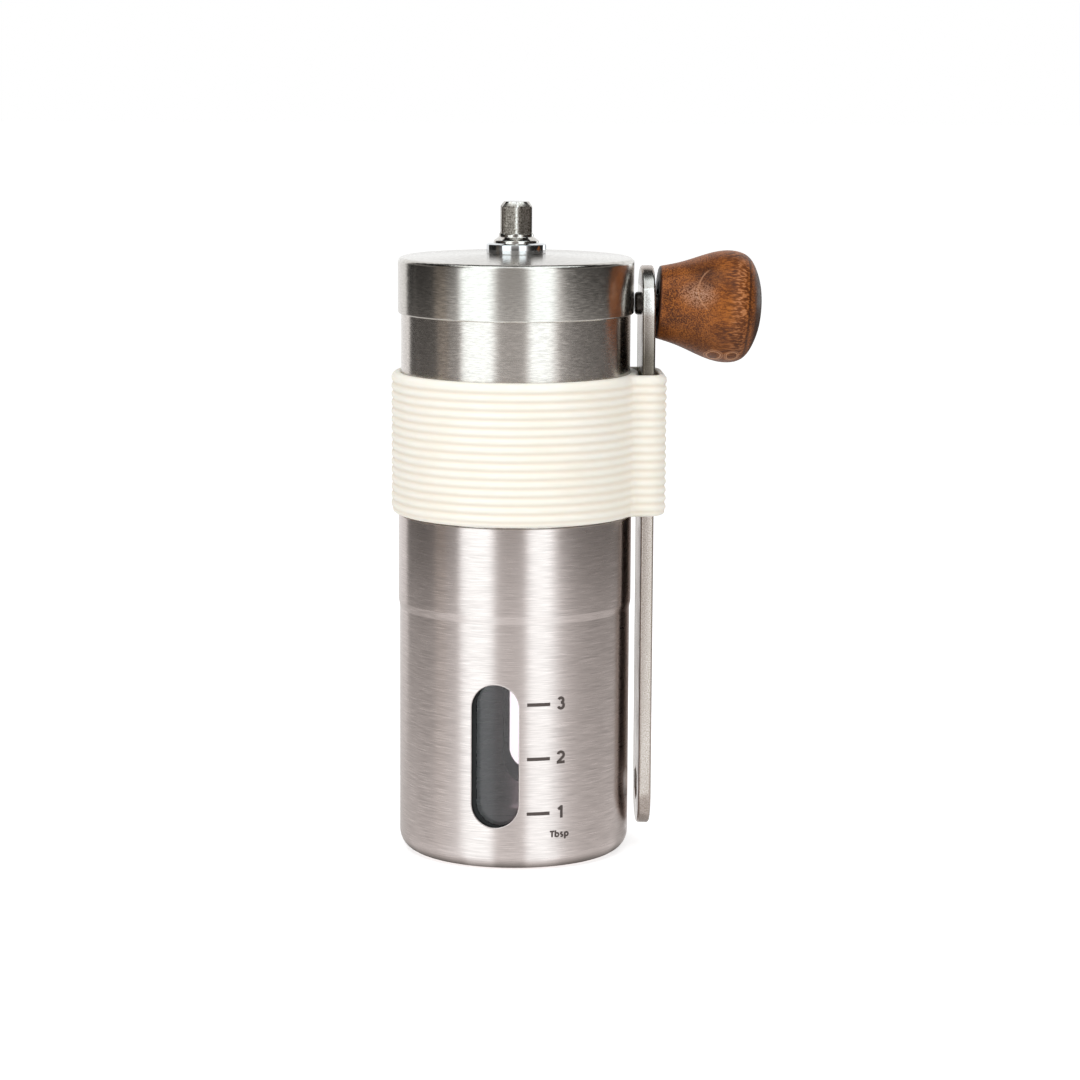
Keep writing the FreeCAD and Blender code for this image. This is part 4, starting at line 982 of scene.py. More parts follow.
@dataclass(frozen=True)
class GroundsCup:
    """Drawn steel cup with two windows, its clear liner and the printed scale.

    Bearings are in degrees from +X, levels and heights in mm from the base.
    """

    mouth_radius: float = 24.01
    height: float = 70.35
    wall: float = 0.45
    edge: float = 0.18
    corner: float = 3.7
    step_in: float = 0.25
    step_dip: float = 0.02
    step_levels: tuple[float, float, float] = (49.4, 50.9, 52.5)
    step_blend: float = 1.1
    dip_blend: float = 4.0
    window_width: float = 9.75
    window_foot: float = 9.07
    window_top: float = 38.47
    window_bearing: float = -101.8
    columns: int = 180
    patch_columns: int = 9
    patch_margin: float = 4.0
    patch_rows: int = 40
    patch_shares: Corner = (0.0, 0.1, 0.25, 0.5, 0.75, 1.0)
    # Shift of each seal's opening, so that the seal shows as painted shade along one side and the lower edge of the
    # window.
    seal_shifts: tuple[tuple[float, float], tuple[float, float]] = ((0.95, 0.5), (0.0, 2.0))
    seal_width: float = 1.5
    seal_thickness: float = 0.06
    seal_gap: float = 0.03
    liner_gap: float = 0.15
    liner_lift: float = 0.02
    liner_wall: float = 1.6
    liner_lip: float = 0.25
    liner_lip_height: float = 0.8
    liner_top: float = 54.0
    liner_rounds: tuple[float, float, float] = (0.1, 0.15, 0.3)
    ink: float = 0.03
    ink_thickness: float = 0.024
    tick_bearings: tuple[float, float] = (-86.0, -74.5)
    tick_width: float = 0.7
    tick_points: int = 25
    numeral_bearing: float = -68.8
    numeral_lift: float = 0.15
    numeral_height: float = 2.55
    numeral_stroke: float = 0.58
    unit: str = "Tbsp"
    unit_places: Corner = (-1.6, -0.55, 0.5, 1.55)
    unit_bearing: float = -69.3
    unit_height: float = 1.4
    unit_stroke: float = 0.36
    unit_foot: float = 6.95
    levels: tuple[tuple[int, float], ...] = ((1, 12.0), (2, 23.3), (3, 34.5))

    @property
    def radius(self) -> float:
        """Outside radius below the step."""
        return self.mouth_radius - self.step_in

    @property
    def patch_levels(self) -> tuple[float, float]:
        """Lowest and highest level of the wall's patch round a window."""
        return self.window_foot - self.patch_margin, self.window_top + self.patch_margin

    @staticmethod
    def on_wall(places: Array, radius: float) -> Array:
        """Bend places round the wall: with arc length s and radius r, x is r cos(s / r) and y is r sin(s / r)."""
        return np.concatenate([circle(places[..., 0] / radius, radius), places[..., 1:]], axis=-1)

    def window_patch(self, bearing: float) -> Surface:
        """Wall round one window: each ring blends the slot's outline into the patch's straight border.

        A border point's partner on the slot lies on the straight line to the slot's middle line.

        Args:
            bearing: of the window's middle, radians.

        Returns:
            The patch, open at the slot.
        """
        half = self.patch_columns * math.tau / self.columns * self.radius
        foot, top = self.patch_levels
        across = np.linspace(-half, half, 2 * self.patch_columns + 1)[:-1]
        up = np.linspace(foot, top, self.patch_rows + 1)[:-1]
        arcs = np.concatenate([across, np.full(len(up), half), -across, np.full(len(up), -half)])
        heights = np.concatenate([np.full(len(across), foot), up, np.full(len(across), top), foot + top - up])
        border = np.column_stack([arcs, heights])
        slot_half = self.window_width / 2
        middle = np.clip(heights, self.window_foot + slot_half, self.window_top - slot_half)
        lean = border - np.column_stack([np.zeros(len(arcs)), middle])
        lean *= slot_half / np.linalg.norm(lean, axis=1)[:, None]
        slot = np.column_stack([self.radius * np.arcsin(lean[:, 0] / self.radius), middle + lean[:, 1]])
        rings = slot + (border - slot) * np.array(self.patch_shares)[:, None, None]
        places = (rings + (bearing * self.radius, 0)).swapaxes(0, 1)
        return grid(self.on_wall(places, self.radius), (True, False), places)

    def seal(self, bearing: float, shift: tuple[float, float]) -> Surface:
        """Dark rubber seal behind a window, shifted so that it stands out a little at one side and its lower edge as
        painted shade along the window's edge.

        Args:
            bearing: of the window's middle, radians.
            shift: how far the seal's opening, a stadium like the window's, lies to the right and up.

        Returns:
            A band between that stadium and a wider one.
        """
        lean = circle(full_turn(96))
        straight = (self.window_top - self.window_foot - self.window_width) / 2 * np.sign(lean[:, 1:]) * (0, 1)
        middle = (0.0, (self.window_top + self.window_foot) / 2)
        radius = self.radius - self.wall - self.seal_gap
        inner = middle + straight + lean * self.window_width / 2 + shift
        outer = middle + straight + lean * (self.window_width / 2 + self.seal_width)
        rings = np.stack([inner, outer], axis=1) + (bearing * radius, 0)
        return grid(self.on_wall(rings, radius), wrap=(True, False))

    def shell(self) -> Surface:
        """Outside of the cup: turned base and mouth, and between them a band with the two window patches.

        Returns:
            The outside, open at the windows and the mouth.
        """
        start = math.radians(self.window_bearing)
        dip, foot_of_step, top_of_step = self.step_levels
        outline = rounded([
            (0, 0), (self.radius, 0, self.corner), (self.radius, dip, self.dip_blend),
            (self.radius - self.step_dip, foot_of_step, self.step_blend),
            (self.mouth_radius, top_of_step, self.step_blend), (self.mouth_radius, self.height)], 10, False)
        foot, top = self.patch_levels
        below = np.vstack([outline[outline[:, 1] < foot], [self.radius, foot]])
        above = np.vstack([[self.radius, top], outline[outline[:, 1] > top]])
        bearings = full_turn(self.columns, start)
        made = [grid(revolve(part, bearings), wrap=(True, False)) for part in (below, above)]
        band = np.column_stack([np.full(self.patch_rows + 1, self.radius), np.linspace(foot, top, self.patch_rows + 1)])
        half = self.patch_columns * math.tau / self.columns
        for side in (start, start + math.pi):
            columns = np.linspace(side + half, side + math.pi - half, self.columns // 2 - 2 * self.patch_columns + 1)
            made += [grid(revolve(band, columns)), self.window_patch(side)]
        return joined(made)

    def liner(self) -> Surface:
        """Clear inner cup with a lip that centres it in the step.

        Returns:
            The closed cup.
        """
        outer = self.radius - self.wall - self.liner_gap
        inner = outer - self.liner_wall
        lip_foot = self.liner_top - self.liner_lip_height
        floor = self.wall + self.liner_wall
        small, middling, large = self.liner_rounds
        outline = rounded([
            (0, self.wall + self.liner_lift),
            (outer, self.wall + self.liner_lift, self.corner - self.wall + self.liner_gap),
            (outer, lip_foot, small), (outer + self.liner_lip, lip_foot + self.liner_lip, small),
            (outer + self.liner_lip, self.liner_top, middling), (inner, self.liner_top, large),
            (inner, floor, self.corner - self.liner_wall), (0, floor)], 8, False)
        return grid(revolve(outline, full_turn(144)), wrap=(True, False))

    def pens(self) -> dict[str, tuple[Array, ...]]:
        """Pen lines of the printed signs.

        Returns:
            For each sign, rows of x and y along each line, where a capital is 1 high and stands on 0.
        """
        bow = self.bow
        return {
            "1": (np.array([(0.08, 0.0), (0.08, 1.0)]), np.array([(0.13, 0.95), (-0.2, 0.7)])),
            "2": (np.vstack([bow(0, 0.68, 0.25, 165, -30), [(-0.26, 0.1)]]), np.array([(-0.35, 0.1), (0.33, 0.1)])),
            "3": (bow(-0.02, 0.71, 0.2, 160, -90), bow(-0.02, 0.3, 0.24, 90, -160)),
            "T": (np.array([(0.0, 0.0), (0.0, 0.86)]), np.array([(-0.34, 0.86), (0.34, 0.86)])),
            "b": (np.array([(-0.24, 0.0), (-0.24, 1.0)]), bow(0, 0.33, 0.27, 0, 360)),
            "s": (np.vstack([bow(0, 0.48, 0.15, 30, 270), bow(0, 0.18, 0.15, 90, -150)]),),
            "p": (np.array([(-0.24, -0.35), (-0.24, 0.66)]), bow(0, 0.33, 0.27, 0, 360))}

    @staticmethod
    def bow(x: float, y: float, radius: float, begin: float, end: float) -> Array:
        """Arc round a point from one bearing to another, in degrees."""
        return (x, y) + circle(np.radians(np.linspace(begin, end, 33)), radius)

    def written(self, sign: str, bearing: float, foot: float, height: float, stroke: float) -> Surface:
        """One printed sign: bands of even width along its pen lines, bent round the wall.

        Args:
            sign: a key of the pen lines.
            bearing: of its middle, degrees.
            foot: height it stands on.
            height: of its capitals.
            stroke: width of the bands.

        Returns:
            The bands; each point's x becomes an arc length.
        """
        radius = self.radius + self.ink
        parts = []
        for pen in self.pens()[sign]:
            line = pen * height
            way = np.gradient(line, axis=0)
            way /= np.linalg.norm(way, axis=1)[:, None]
            side = np.column_stack([-way[:, 1], way[:, 0]]) * stroke / 2
            band = np.stack([line - side, line + side], axis=1) + (math.radians(bearing) * radius, foot)
            parts.append(grid(self.on_wall(band, radius)))
        return joined(parts)

    def scale(self) -> Surface:
        """The printed scale: a line and a number at each level, and the unit below.

        Returns:
            The signs and lines on the wall, without a thickness.
        """
        radius = self.radius + self.ink
        arc = np.radians(np.linspace(*self.tick_bearings, self.tick_points)) * radius
        marks = []
        for number, height in self.levels:
            sides = [np.column_stack([arc, np.full_like(arc, height + side)])
                     for side in (-self.tick_width / 2, self.tick_width / 2)]
            marks.append(grid(self.on_wall(np.stack(sides, axis=1), radius)))
            foot = height + self.numeral_lift - self.numeral_height / 2
            marks.append(self.written(str(number), self.numeral_bearing, foot, self.numeral_height,
                                      self.numeral_stroke))
        for sign, place in zip(self.unit, self.unit_places):
            bearing = self.unit_bearing + math.degrees(place / self.radius)
            marks.append(self.written(sign, bearing, self.unit_foot, self.unit_height, self.unit_stroke))
        return joined(marks)

    def build(self) -> None:
        """Make the cup, its seals, its liner and the scale."""
        Piece("cup_shell", Body.CUP, CUP_STEEL, "cup_steel", ("grounds_cup",), self.wall, self.edge).make(self.shell())
        front = math.radians(self.window_bearing)
        for name, bearing, shift in zip(
                ("window_seal", "back_window_seal"), (front, front + math.pi), self.seal_shifts):
            Piece(name, Body.CUP, BLACK_RUBBER, wall=self.seal_thickness).make(self.seal(bearing, shift))
        Piece("cup_clear_liner", Body.CUP, CLEAR, "liner_clear", ("cup_liner",)).make(self.liner())
        Piece("printed_scale", Body.CUP, INK, wall=self.ink_thickness).make(self.scale())


@dataclass(frozen=True)
class GripSleeve:
    """Ribbed silicone sleeve whose loop holds the stowed crank."""

    bore: float = 23.52
    radius: float = 25.5
    foot: float = 70.65
    top: float = 99.63
    loop_half: float = 10.1
    loop_out: float = 30.7
    loop_corner: float = 4.5
    valley: float = 1.2
    grooves: int = 16
    top_rib: float = 2.13
    foot_rib: float = 0.92
    groove_half: float = 0.72
    groove_depth: float = 0.3
    lowest_groove: float = 0.35
    level_step: float = 0.1
    end_round: float = 1.2
    inner_round: float = 0.32
    pocket_radius: float = 25.2
    pocket_half: float = 8.3
    pocket_out: float = 29.0
    pocket_corner: float = 2.0

    @staticmethod
    def arc(centre: tuple[float, float], radius: float, begin: float, end: float, count: int) -> Array:
        """Points of an arc, without its last one."""
        return centre + circle(np.linspace(begin, end, count + 1)[:-1], radius)

    @staticmethod
    def mirrored(half: Array) -> Array:
        """Closed loop from its half with y above 0, which starts and ends on the X axis."""
        return np.vstack([half, (half * (1, -1))[-2:0:-1]])

    def nose(self, out: float, half: float, corner: float, back: float, steps: int) -> Array:
        """Half of a loop's nose seen from above: its flat front, a rounded corner and its straight side.

        Args:
            out: x of the front.
            half: y of the side.
            corner: radius between them.
            back: x where the side ends.
            steps: pieces of the corner's arc.

        Returns:
            Rows of x and y, without the side's last point.
        """
        front = np.column_stack([np.full(5, out), np.linspace(0, half - corner, 6)[:-1]])
        bend = self.arc((out - corner, half - corner), corner, 0, math.pi / 2, steps)
        side = np.column_stack([np.linspace(out - corner, back, 5)[:-1], np.full(4, half)])
        return np.vstack([front, bend, side])

    def outline(self, inset: float) -> Array:
        """Outside of the sleeve seen from above: the loop's nose, a valley and the ring.

        The valley is a quadratic curve from the nose's side to the ring, with the corner between them as
        its middle point.

        Args:
            inset: how far the outline is drawn in.

        Returns:
            Rows of x and y.
        """
        radius, half = self.radius - inset, self.loop_half - inset
        join = math.asin(half / radius)
        knee = np.array([radius * math.cos(join), half])
        side_end = knee + (self.valley, 0)
        ring_start = join + self.valley / radius
        share = np.linspace(0, 1, 9)[:-1, None]
        valley = ((1 - share) ** 2 * side_end + 2 * share * (1 - share) * knee
                  + share ** 2 * circle(ring_start, radius))
        nose = self.nose(self.loop_out - inset, half, self.loop_corner - inset, side_end[0], 10)
        ring = self.arc((0, 0), radius, ring_start, math.pi, 70)
        return self.mirrored(np.vstack([nose, valley, ring, [[-radius, 0]]]))

    def pocket(self, grow: float) -> Array:
        """Outline of the crank's pocket seen from above.

        Args:
            grow: how far it is widened.

        Returns:
            Rows of x and y.
        """
        radius, half = self.pocket_radius - grow, self.pocket_half + grow
        join = math.asin(half / radius)
        nose = self.nose(self.pocket_out + grow, half, self.pocket_corner + grow, radius * math.cos(join), 8)
        return self.mirrored(np.vstack([nose, self.arc((0, 0), radius, join, 0, 12), [[radius, 0]]]))

    def bore_loop(self, grow: float) -> Array:
        """Circle of the bore, widened by an amount."""
        return self.arc((0, 0), self.bore + grow, 0, math.tau, 144)

    def levels(self) -> tuple[Array, Array]:
        """Heights of the outside and how far it is drawn in there.

        The ends are quarter rounds, and each groove is a raised cosine across its width.

        Returns:
            Heights and insets.
        """
        round_up = self.end_round * (1 - np.cos(np.linspace(0, math.pi / 2, 9)))
        heights = np.unique(np.concatenate([
            self.foot + round_up, self.top - round_up, np.arange(self.foot, self.top, self.level_step),
            self.middles()]).round(4))
        ends = np.minimum(heights - self.foot, self.top - heights).clip(0, self.end_round)
        end_insets = self.end_round - np.sqrt(self.end_round ** 2 - (self.end_round - ends) ** 2)
        return heights, self.depth(heights) * self.groove_depth + end_insets

    def middles(self) -> Array:
        """Heights of the grooves' middles."""
        pitch = (self.top - self.foot - self.top_rib - self.foot_rib) / (self.grooves - 1)
        return self.foot + self.foot_rib + pitch * np.arange(self.grooves)

    def depth(self, heights: Array) -> Array:
        """How deep in a groove each height lies, less where the lowest groove meets the foot.

        Args:
            heights: mm.

        Returns:
            From 0 to 1 for each.
        """
        away = np.abs(heights[:, None] - self.middles()).min(axis=1).clip(0, self.groove_half)
        share = ((heights - self.foot) / self.end_round).clip(self.lowest_groove, 1)
        return share * (1 + np.cos(math.pi * away / self.groove_half)) / 2

    def surface(self) -> Surface:
        """Ribbed outside, the bore, the crank's pocket and the flat ends between them.

        Returns:
            The closed sleeve.
        """
        outside = np.stack([at_height(self.outline(inset), height) for height, inset in zip(*self.levels())], axis=1)
        made = [grid(outside, wrap=(True, False))]
        rows = softened(self.foot, self.top, self.inner_round, 5)
        for loop in (self.bore_loop, self.pocket):
            wall = np.stack([at_height(loop(grow), height) for height, grow in rows], axis=1)
            made.append(grid(wall, wrap=(True, False)))
        rims = [self.outline(self.end_round), self.bore_loop(self.inner_round), self.pocket(self.inner_round)]
        made += [flat_fill([at_height(rim, height) for rim in rims]) for height in (self.foot, self.top)]
        return joined(made)

    def build(self) -> None:
        """Make the sleeve and mark how deep each point lies in its groove."""
        sleeve = Piece("ribbed_sleeve", Body.MILL, SILICONE, "sleeve_silicone", ("grip_sleeve",),
                       crease=50).make(self.surface())
        mark_points(sleeve.data, GROOVE, self.depth(mesh_points(sleeve.data)[:, 2]))


@dataclass(frozen=True)
class HopperTube:
    """Steel tube of the mill, and what stands inside it."""

    radius: float = 23.5
    wall: float = 0.7
    foot: float = 54.3
    top: float = 120.7
    edge: float = 0.2

    def build(self) -> None:
        """Make the tube, its ends rounded, and dress the bridge, the bushes and the burrs."""
        bore = self.radius - self.wall
        tube = turned([(bore, self.foot, self.edge), (self.radius, self.foot, self.edge),
                       (self.radius, self.top, self.edge), (bore, self.top, self.edge)])
        Piece("hopper_tube_steel", Body.MILL, TUBE_STEEL, "tube_steel", ("hopper_tube",)).make(tube)
        dress(BLACK_PLASTIC, "upper_bridge", "burr_housing")
        dress(BRONZE, "upper_bush", "lower_bush")
        dress(CERAMIC, "outer_burr", "inner_burr")
        dress(PLATED_STEEL, "burr_retainer", "retainer_screws", "thrust_washer", "spring_washer", "click_plate")
        dress(GREY_PLASTIC, "burr_driver")
        dress(WHITE_PLASTIC, "adjust_nut")
        dress(SPRING_STEEL, "retaining_ring")


@dataclass(frozen=True)
class Lid:
    """Drawn steel cap with a slight crown, its moulded liner and the chromed collar."""

    radius: float = 24.16
    wall: float = 0.58
    foot: float = 111.64
    top: float = 123.0
    crown: float = 0.8
    shoulder: float = 1.0
    hem: float = 0.22
    hem_rounds: tuple[float, float, float] = (0.1, 0.15, 0.3)
    collar_radius: float = 6.1
    collar_top: float = 126.0
    collar_edge: float = 0.6
    collar_rounds: tuple[float, float, float] = (0.15, 0.2, 0.12)
    bore: float = 4.66
    spigot: float = 5.31
    spigot_foot: float = 121.0

    @property
    def seat(self) -> float:
        """Height where the collar stands on the crown."""
        return self.top + self.crown

    def cap(self) -> Surface:
        """Straight skirt, rounded shoulder and crowned top, closed round the collar's spigot.

        The top falls evenly from the collar to the shoulder.

        Returns:
            The closed cap.
        """
        inner = self.radius - self.wall
        inside, hem, outside = self.hem_rounds
        return turned([
            (self.spigot, self.seat), (self.spigot, self.seat - self.wall),
            (inner, self.top - self.wall, self.shoulder - self.wall),
            (inner, self.foot, inside), (self.radius - self.hem, self.foot, hem),
            (self.radius, self.foot + self.hem, outside),
            (self.radius, self.top, self.shoulder), (self.collar_radius, self.seat)], 180, 10)

    def collar(self) -> Surface:
        """Polished ring with a rounded bevel, in which the shaft's shoulder turns.

        Returns:
            The closed ring.
        """
        foot, bevel, bore = self.collar_rounds
        return turned([
            (self.bore, self.spigot_foot), (self.spigot, self.spigot_foot), (self.spigot, self.seat),
            (self.collar_radius, self.seat, foot),
            (self.collar_radius, self.collar_top - self.collar_edge / 2, bevel),
            (self.collar_radius - self.collar_edge, self.collar_top, bevel), (self.bore, self.collar_top, bore)], 96)

    def build(self) -> None:
        """Make the cap and the collar, and dress the moulded liner."""
        Piece("lid_cap_steel", Body.LID, LID_STEEL, "lid_steel", ("lid_cap",)).make(self.cap())
        Piece("lid_collar_chrome", Body.LID, CHROME, "collar_chrome", ("lid_collar",), crease=40).make(self.collar())
        dress(BLACK_PLASTIC, "lid_liner")


@dataclass(frozen=True)
class DriveShaft:
    """Main shaft with its thread, hexagons and shoulder, and the spring round it.

    Heights and radii are told apart with a slack of 0.01 mm.
    """

    slack: float = 0.01
    foot: float = 54.0
    end_bevel: float = 0.4
    thread_radius: float = 2.45
    thread_depth: float = 0.42
    thread_top: float = 61.3
    thread_run_out: float = 0.3
    pitch: float = 0.8
    flank: float = 1.25
    crest: float = 0.12
    drive_flats: float = 5.6
    step: float = 87.8
    journal: float = 3.5
    groove_foot: float = 107.3
    groove_top: float = 107.9
    groove_radius: float = 3.0
    shoulder_foot: float = 120.7
    shoulder: float = 4.6
    shoulder_round: float = 0.2
    collar_top: float = 126.0
    bell_height: float = 0.45
    bell_round: float = 0.35
    cone_top: float = 127.1
    cone_blend: float = 0.1
    cone_round: float = 0.25
    stem: float = 3.45
    head_foot: float = 127.6
    head_corner: float = 3.56
    head_flats: float = 6.35
    head_edge: float = 0.9
    head_bearing: float = 30.0
    run_out: float = 0.6
    head_chamfer_foot: float = 133.2
    head_chamfer: float = 1.0
    chamfer_round: float = 0.5
    top_round: float = 0.15
    top: float = 134.4
    wire: float = 0.4
    wire_columns: int = 14
    coil: float = 4.7
    coil_rows: int = 48
    spring_foot: float = 79.7
    spring_top: float = 87.3
    coils: float = 6.0
    end_coils: float = 0.9
    end_pitch: float = 0.85
    smoothing: int = 13

    def bearings(self) -> Array:
        """Bearings round the shaft, close together at the hexagons' corners, radians."""
        sector = np.array([0, 1.6, 3.2, 5, 6.6, 7.5, 9, 14, 22, 30, 38, 46, 51, 52.5, 53.4, 55, 56.8, 58.4])
        return np.radians((60 * np.arange(6)[:, None] + sector).ravel())

    def hexagon(self, angles: Array, flats: Array, corner: float, edge: float = 0.0) -> Array:
        """Radius of a hexagon: half its flats over the cosine of the angle from the nearest flat's middle.

        At a rounded corner it is the far crossing of the bearing with a circle inside that corner.

        Args:
            angles: bearings, radians.
            flats: across flats at each height.
            corner: bearing of a corner, radians.
            edge: radius of the rounded corners, mm.

        Returns:
            Angles by heights.
        """
        half_side = math.tau / 12
        off = (angles - corner) % (2 * half_side) - half_side
        straight = flats / 2 / np.cos(off)[:, None]
        inner = flats / 2 - edge
        middle = inner / math.cos(half_side)
        rest = (half_side - np.abs(off))[:, None]
        bent = middle * np.cos(rest) + np.sqrt((edge ** 2 - (middle * np.sin(rest)) ** 2).clip(0))
        at_corner = np.tan(np.abs(off))[:, None] * flats / 2 > inner * math.tan(half_side)
        return np.where(at_corner & (edge > 0), bent, straight)

    def profile(self) -> Array:
        """Side of the shaft as it was turned, before its thread and flats.

        Returns:
            Rows of radius and height, from the foot to the top.
        """
        thread = np.arange(self.foot + self.end_bevel, self.thread_top - self.thread_run_out, self.pitch / 10)
        run_out = self.head_foot + self.run_out * (1 - np.cos(np.linspace(0.1, math.pi / 2, 12)))
        return np.vstack([
            [(0.0, self.foot), (self.thread_radius - self.end_bevel, self.foot)],
            np.column_stack([np.full(len(thread), self.thread_radius), thread]),
            [(self.thread_radius, self.thread_top), (self.journal, self.thread_top),
             (self.journal, self.step - 2 * self.slack), (self.journal, self.step)],
            rounded([
                (self.journal, self.groove_foot), (self.groove_radius, self.groove_foot),
                (self.groove_radius, self.groove_top), (self.journal, self.groove_top),
                (self.journal, self.shoulder_foot), (self.shoulder, self.shoulder_foot, self.shoulder_round),
                (self.shoulder, self.collar_top + self.bell_height, self.bell_round),
                (self.stem + self.cone_blend, self.cone_top + self.cone_blend, self.cone_round),
                (self.head_corner, self.head_foot)], 6, False),
            np.column_stack([np.full(len(run_out), self.head_corner), run_out]),
            rounded([
                (self.head_corner, self.head_chamfer_foot - 1),
                (self.head_corner, self.head_chamfer_foot, self.chamfer_round),
                (self.head_corner - self.head_chamfer, self.top, self.top_round), (0, self.top)], 6, False)])

    def shaft(self) -> Surface:
        """One radius over angle and height: the smaller of what was turned and what was milled flat.

        The head's flats run out at its foot in a quarter round. The thread takes off a triangle wave of the
        height over the pitch, less the bearing's share of a turn.

        Returns:
            The closed shaft.
        """
        angles = self.bearings()
        radii, heights = self.profile().T
        below = np.clip(self.head_foot + self.run_out - heights, 0, self.run_out)
        near = self.head_flats + 2 * (self.run_out - np.sqrt(self.run_out ** 2 - below ** 2))
        on_drive = (heights > self.thread_top - self.slack) & (heights < self.step - self.slack)
        drive = self.hexagon(angles, np.full(len(heights), self.drive_flats), 0.0)
        head = self.hexagon(angles, near, math.radians(self.head_bearing), self.head_edge)
        made = np.tile(radii, (len(angles), 1))
        for where, flat in ((on_drive, drive), (heights > self.head_foot, head)):
            made = np.where(where, np.minimum(made, flat), made)
        cut = (heights > self.foot + self.end_bevel - self.slack) & (heights < self.thread_top - self.thread_run_out)
        phase = (heights / self.pitch - angles[:, None] / math.tau) % 1
        groove = np.clip(self.flank * (1 - np.abs(2 * phase - 1)) - self.crest, 0, 1) * self.thread_depth
        made = np.where(cut, made - groove, made)
        sides = circle(angles)[:, None] * made[..., None]
        return grid(np.dstack([sides, np.broadcast_to(heights, made.shape)]), wrap=(True, False))

    def mark_flats(self, mesh: Mesh) -> None:
        """Mark the head's milled flats: points within 0.01 mm of a flat, and off the turned corners.

        Args:
            mesh: the shaft's mesh.
        """
        x, y, z = mesh_points(mesh).T
        away = np.hypot(x, y)
        flat = self.hexagon(np.arctan2(y, x), np.array([self.head_flats]), math.radians(self.head_bearing))[:, 0]
        on_head = z > self.head_foot + 0.1
        mark_points(mesh, MILLED, on_head & (away > flat - self.slack) & (away < self.head_corner - self.slack / 2))

    def spring(self) -> Surface:
        """Wire round a helix whose end coils lie nearly flat, closed at both ends.

        The wire's circle at each point of the helix stands square to the helix's direction.

        Returns:
            The spring.
        """
        turn = np.linspace(0, self.coils, int(self.coil_rows * self.coils) + 1)
        lift = self.spring_top - self.spring_foot - 2 * self.wire
        end_lift = self.end_coils * self.end_pitch
        knots = [0, self.end_coils, self.coils - self.end_coils, self.coils]
        rise = self.spring_foot + self.wire + np.interp(turn, knots, [0, end_lift, lift - end_lift, lift])
        even = np.full(self.smoothing, 1 / self.smoothing)
        rise = np.convolve(np.pad(rise, self.smoothing // 2, mode="edge"), even, mode="valid")
        spokes = circle(math.tau * turn)
        middle = np.column_stack([self.coil * spokes, rise])
        way = np.gradient(middle, axis=0)
        way /= np.linalg.norm(way, axis=1)[:, None]
        out = at_height(spokes, 0.0)
        side = np.cross(way, out)
        around = circle(full_turn(self.wire_columns), self.wire)
        wire = middle[:, None] + around[:, :1] * out[:, None] + around[:, 1:] * side[:, None]
        ends = [np.broadcast_to(middle[at], (1, self.wire_columns, 3)) for at in (0, -1)]
        return grid(np.concatenate([ends[0], wire, ends[1]]), wrap=(False, True))

    def build(self) -> None:
        """Make the shaft and the spring, which is pressed between the shaft and the burr."""
        shaft = Piece("drive_shaft_steel", Body.SHAFT, SHAFT_STEEL, "shaft_steel", ("drive_shaft",), crease=18)
        self.mark_flats(shaft.make(self.shaft()).data)
        spring = Piece("burr_spring_wire", Body.SHAFT, SPRING_STEEL, "spring_steel",
                       ("burr_spring",)).make(self.spring(), rides=False)
        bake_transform(spring)


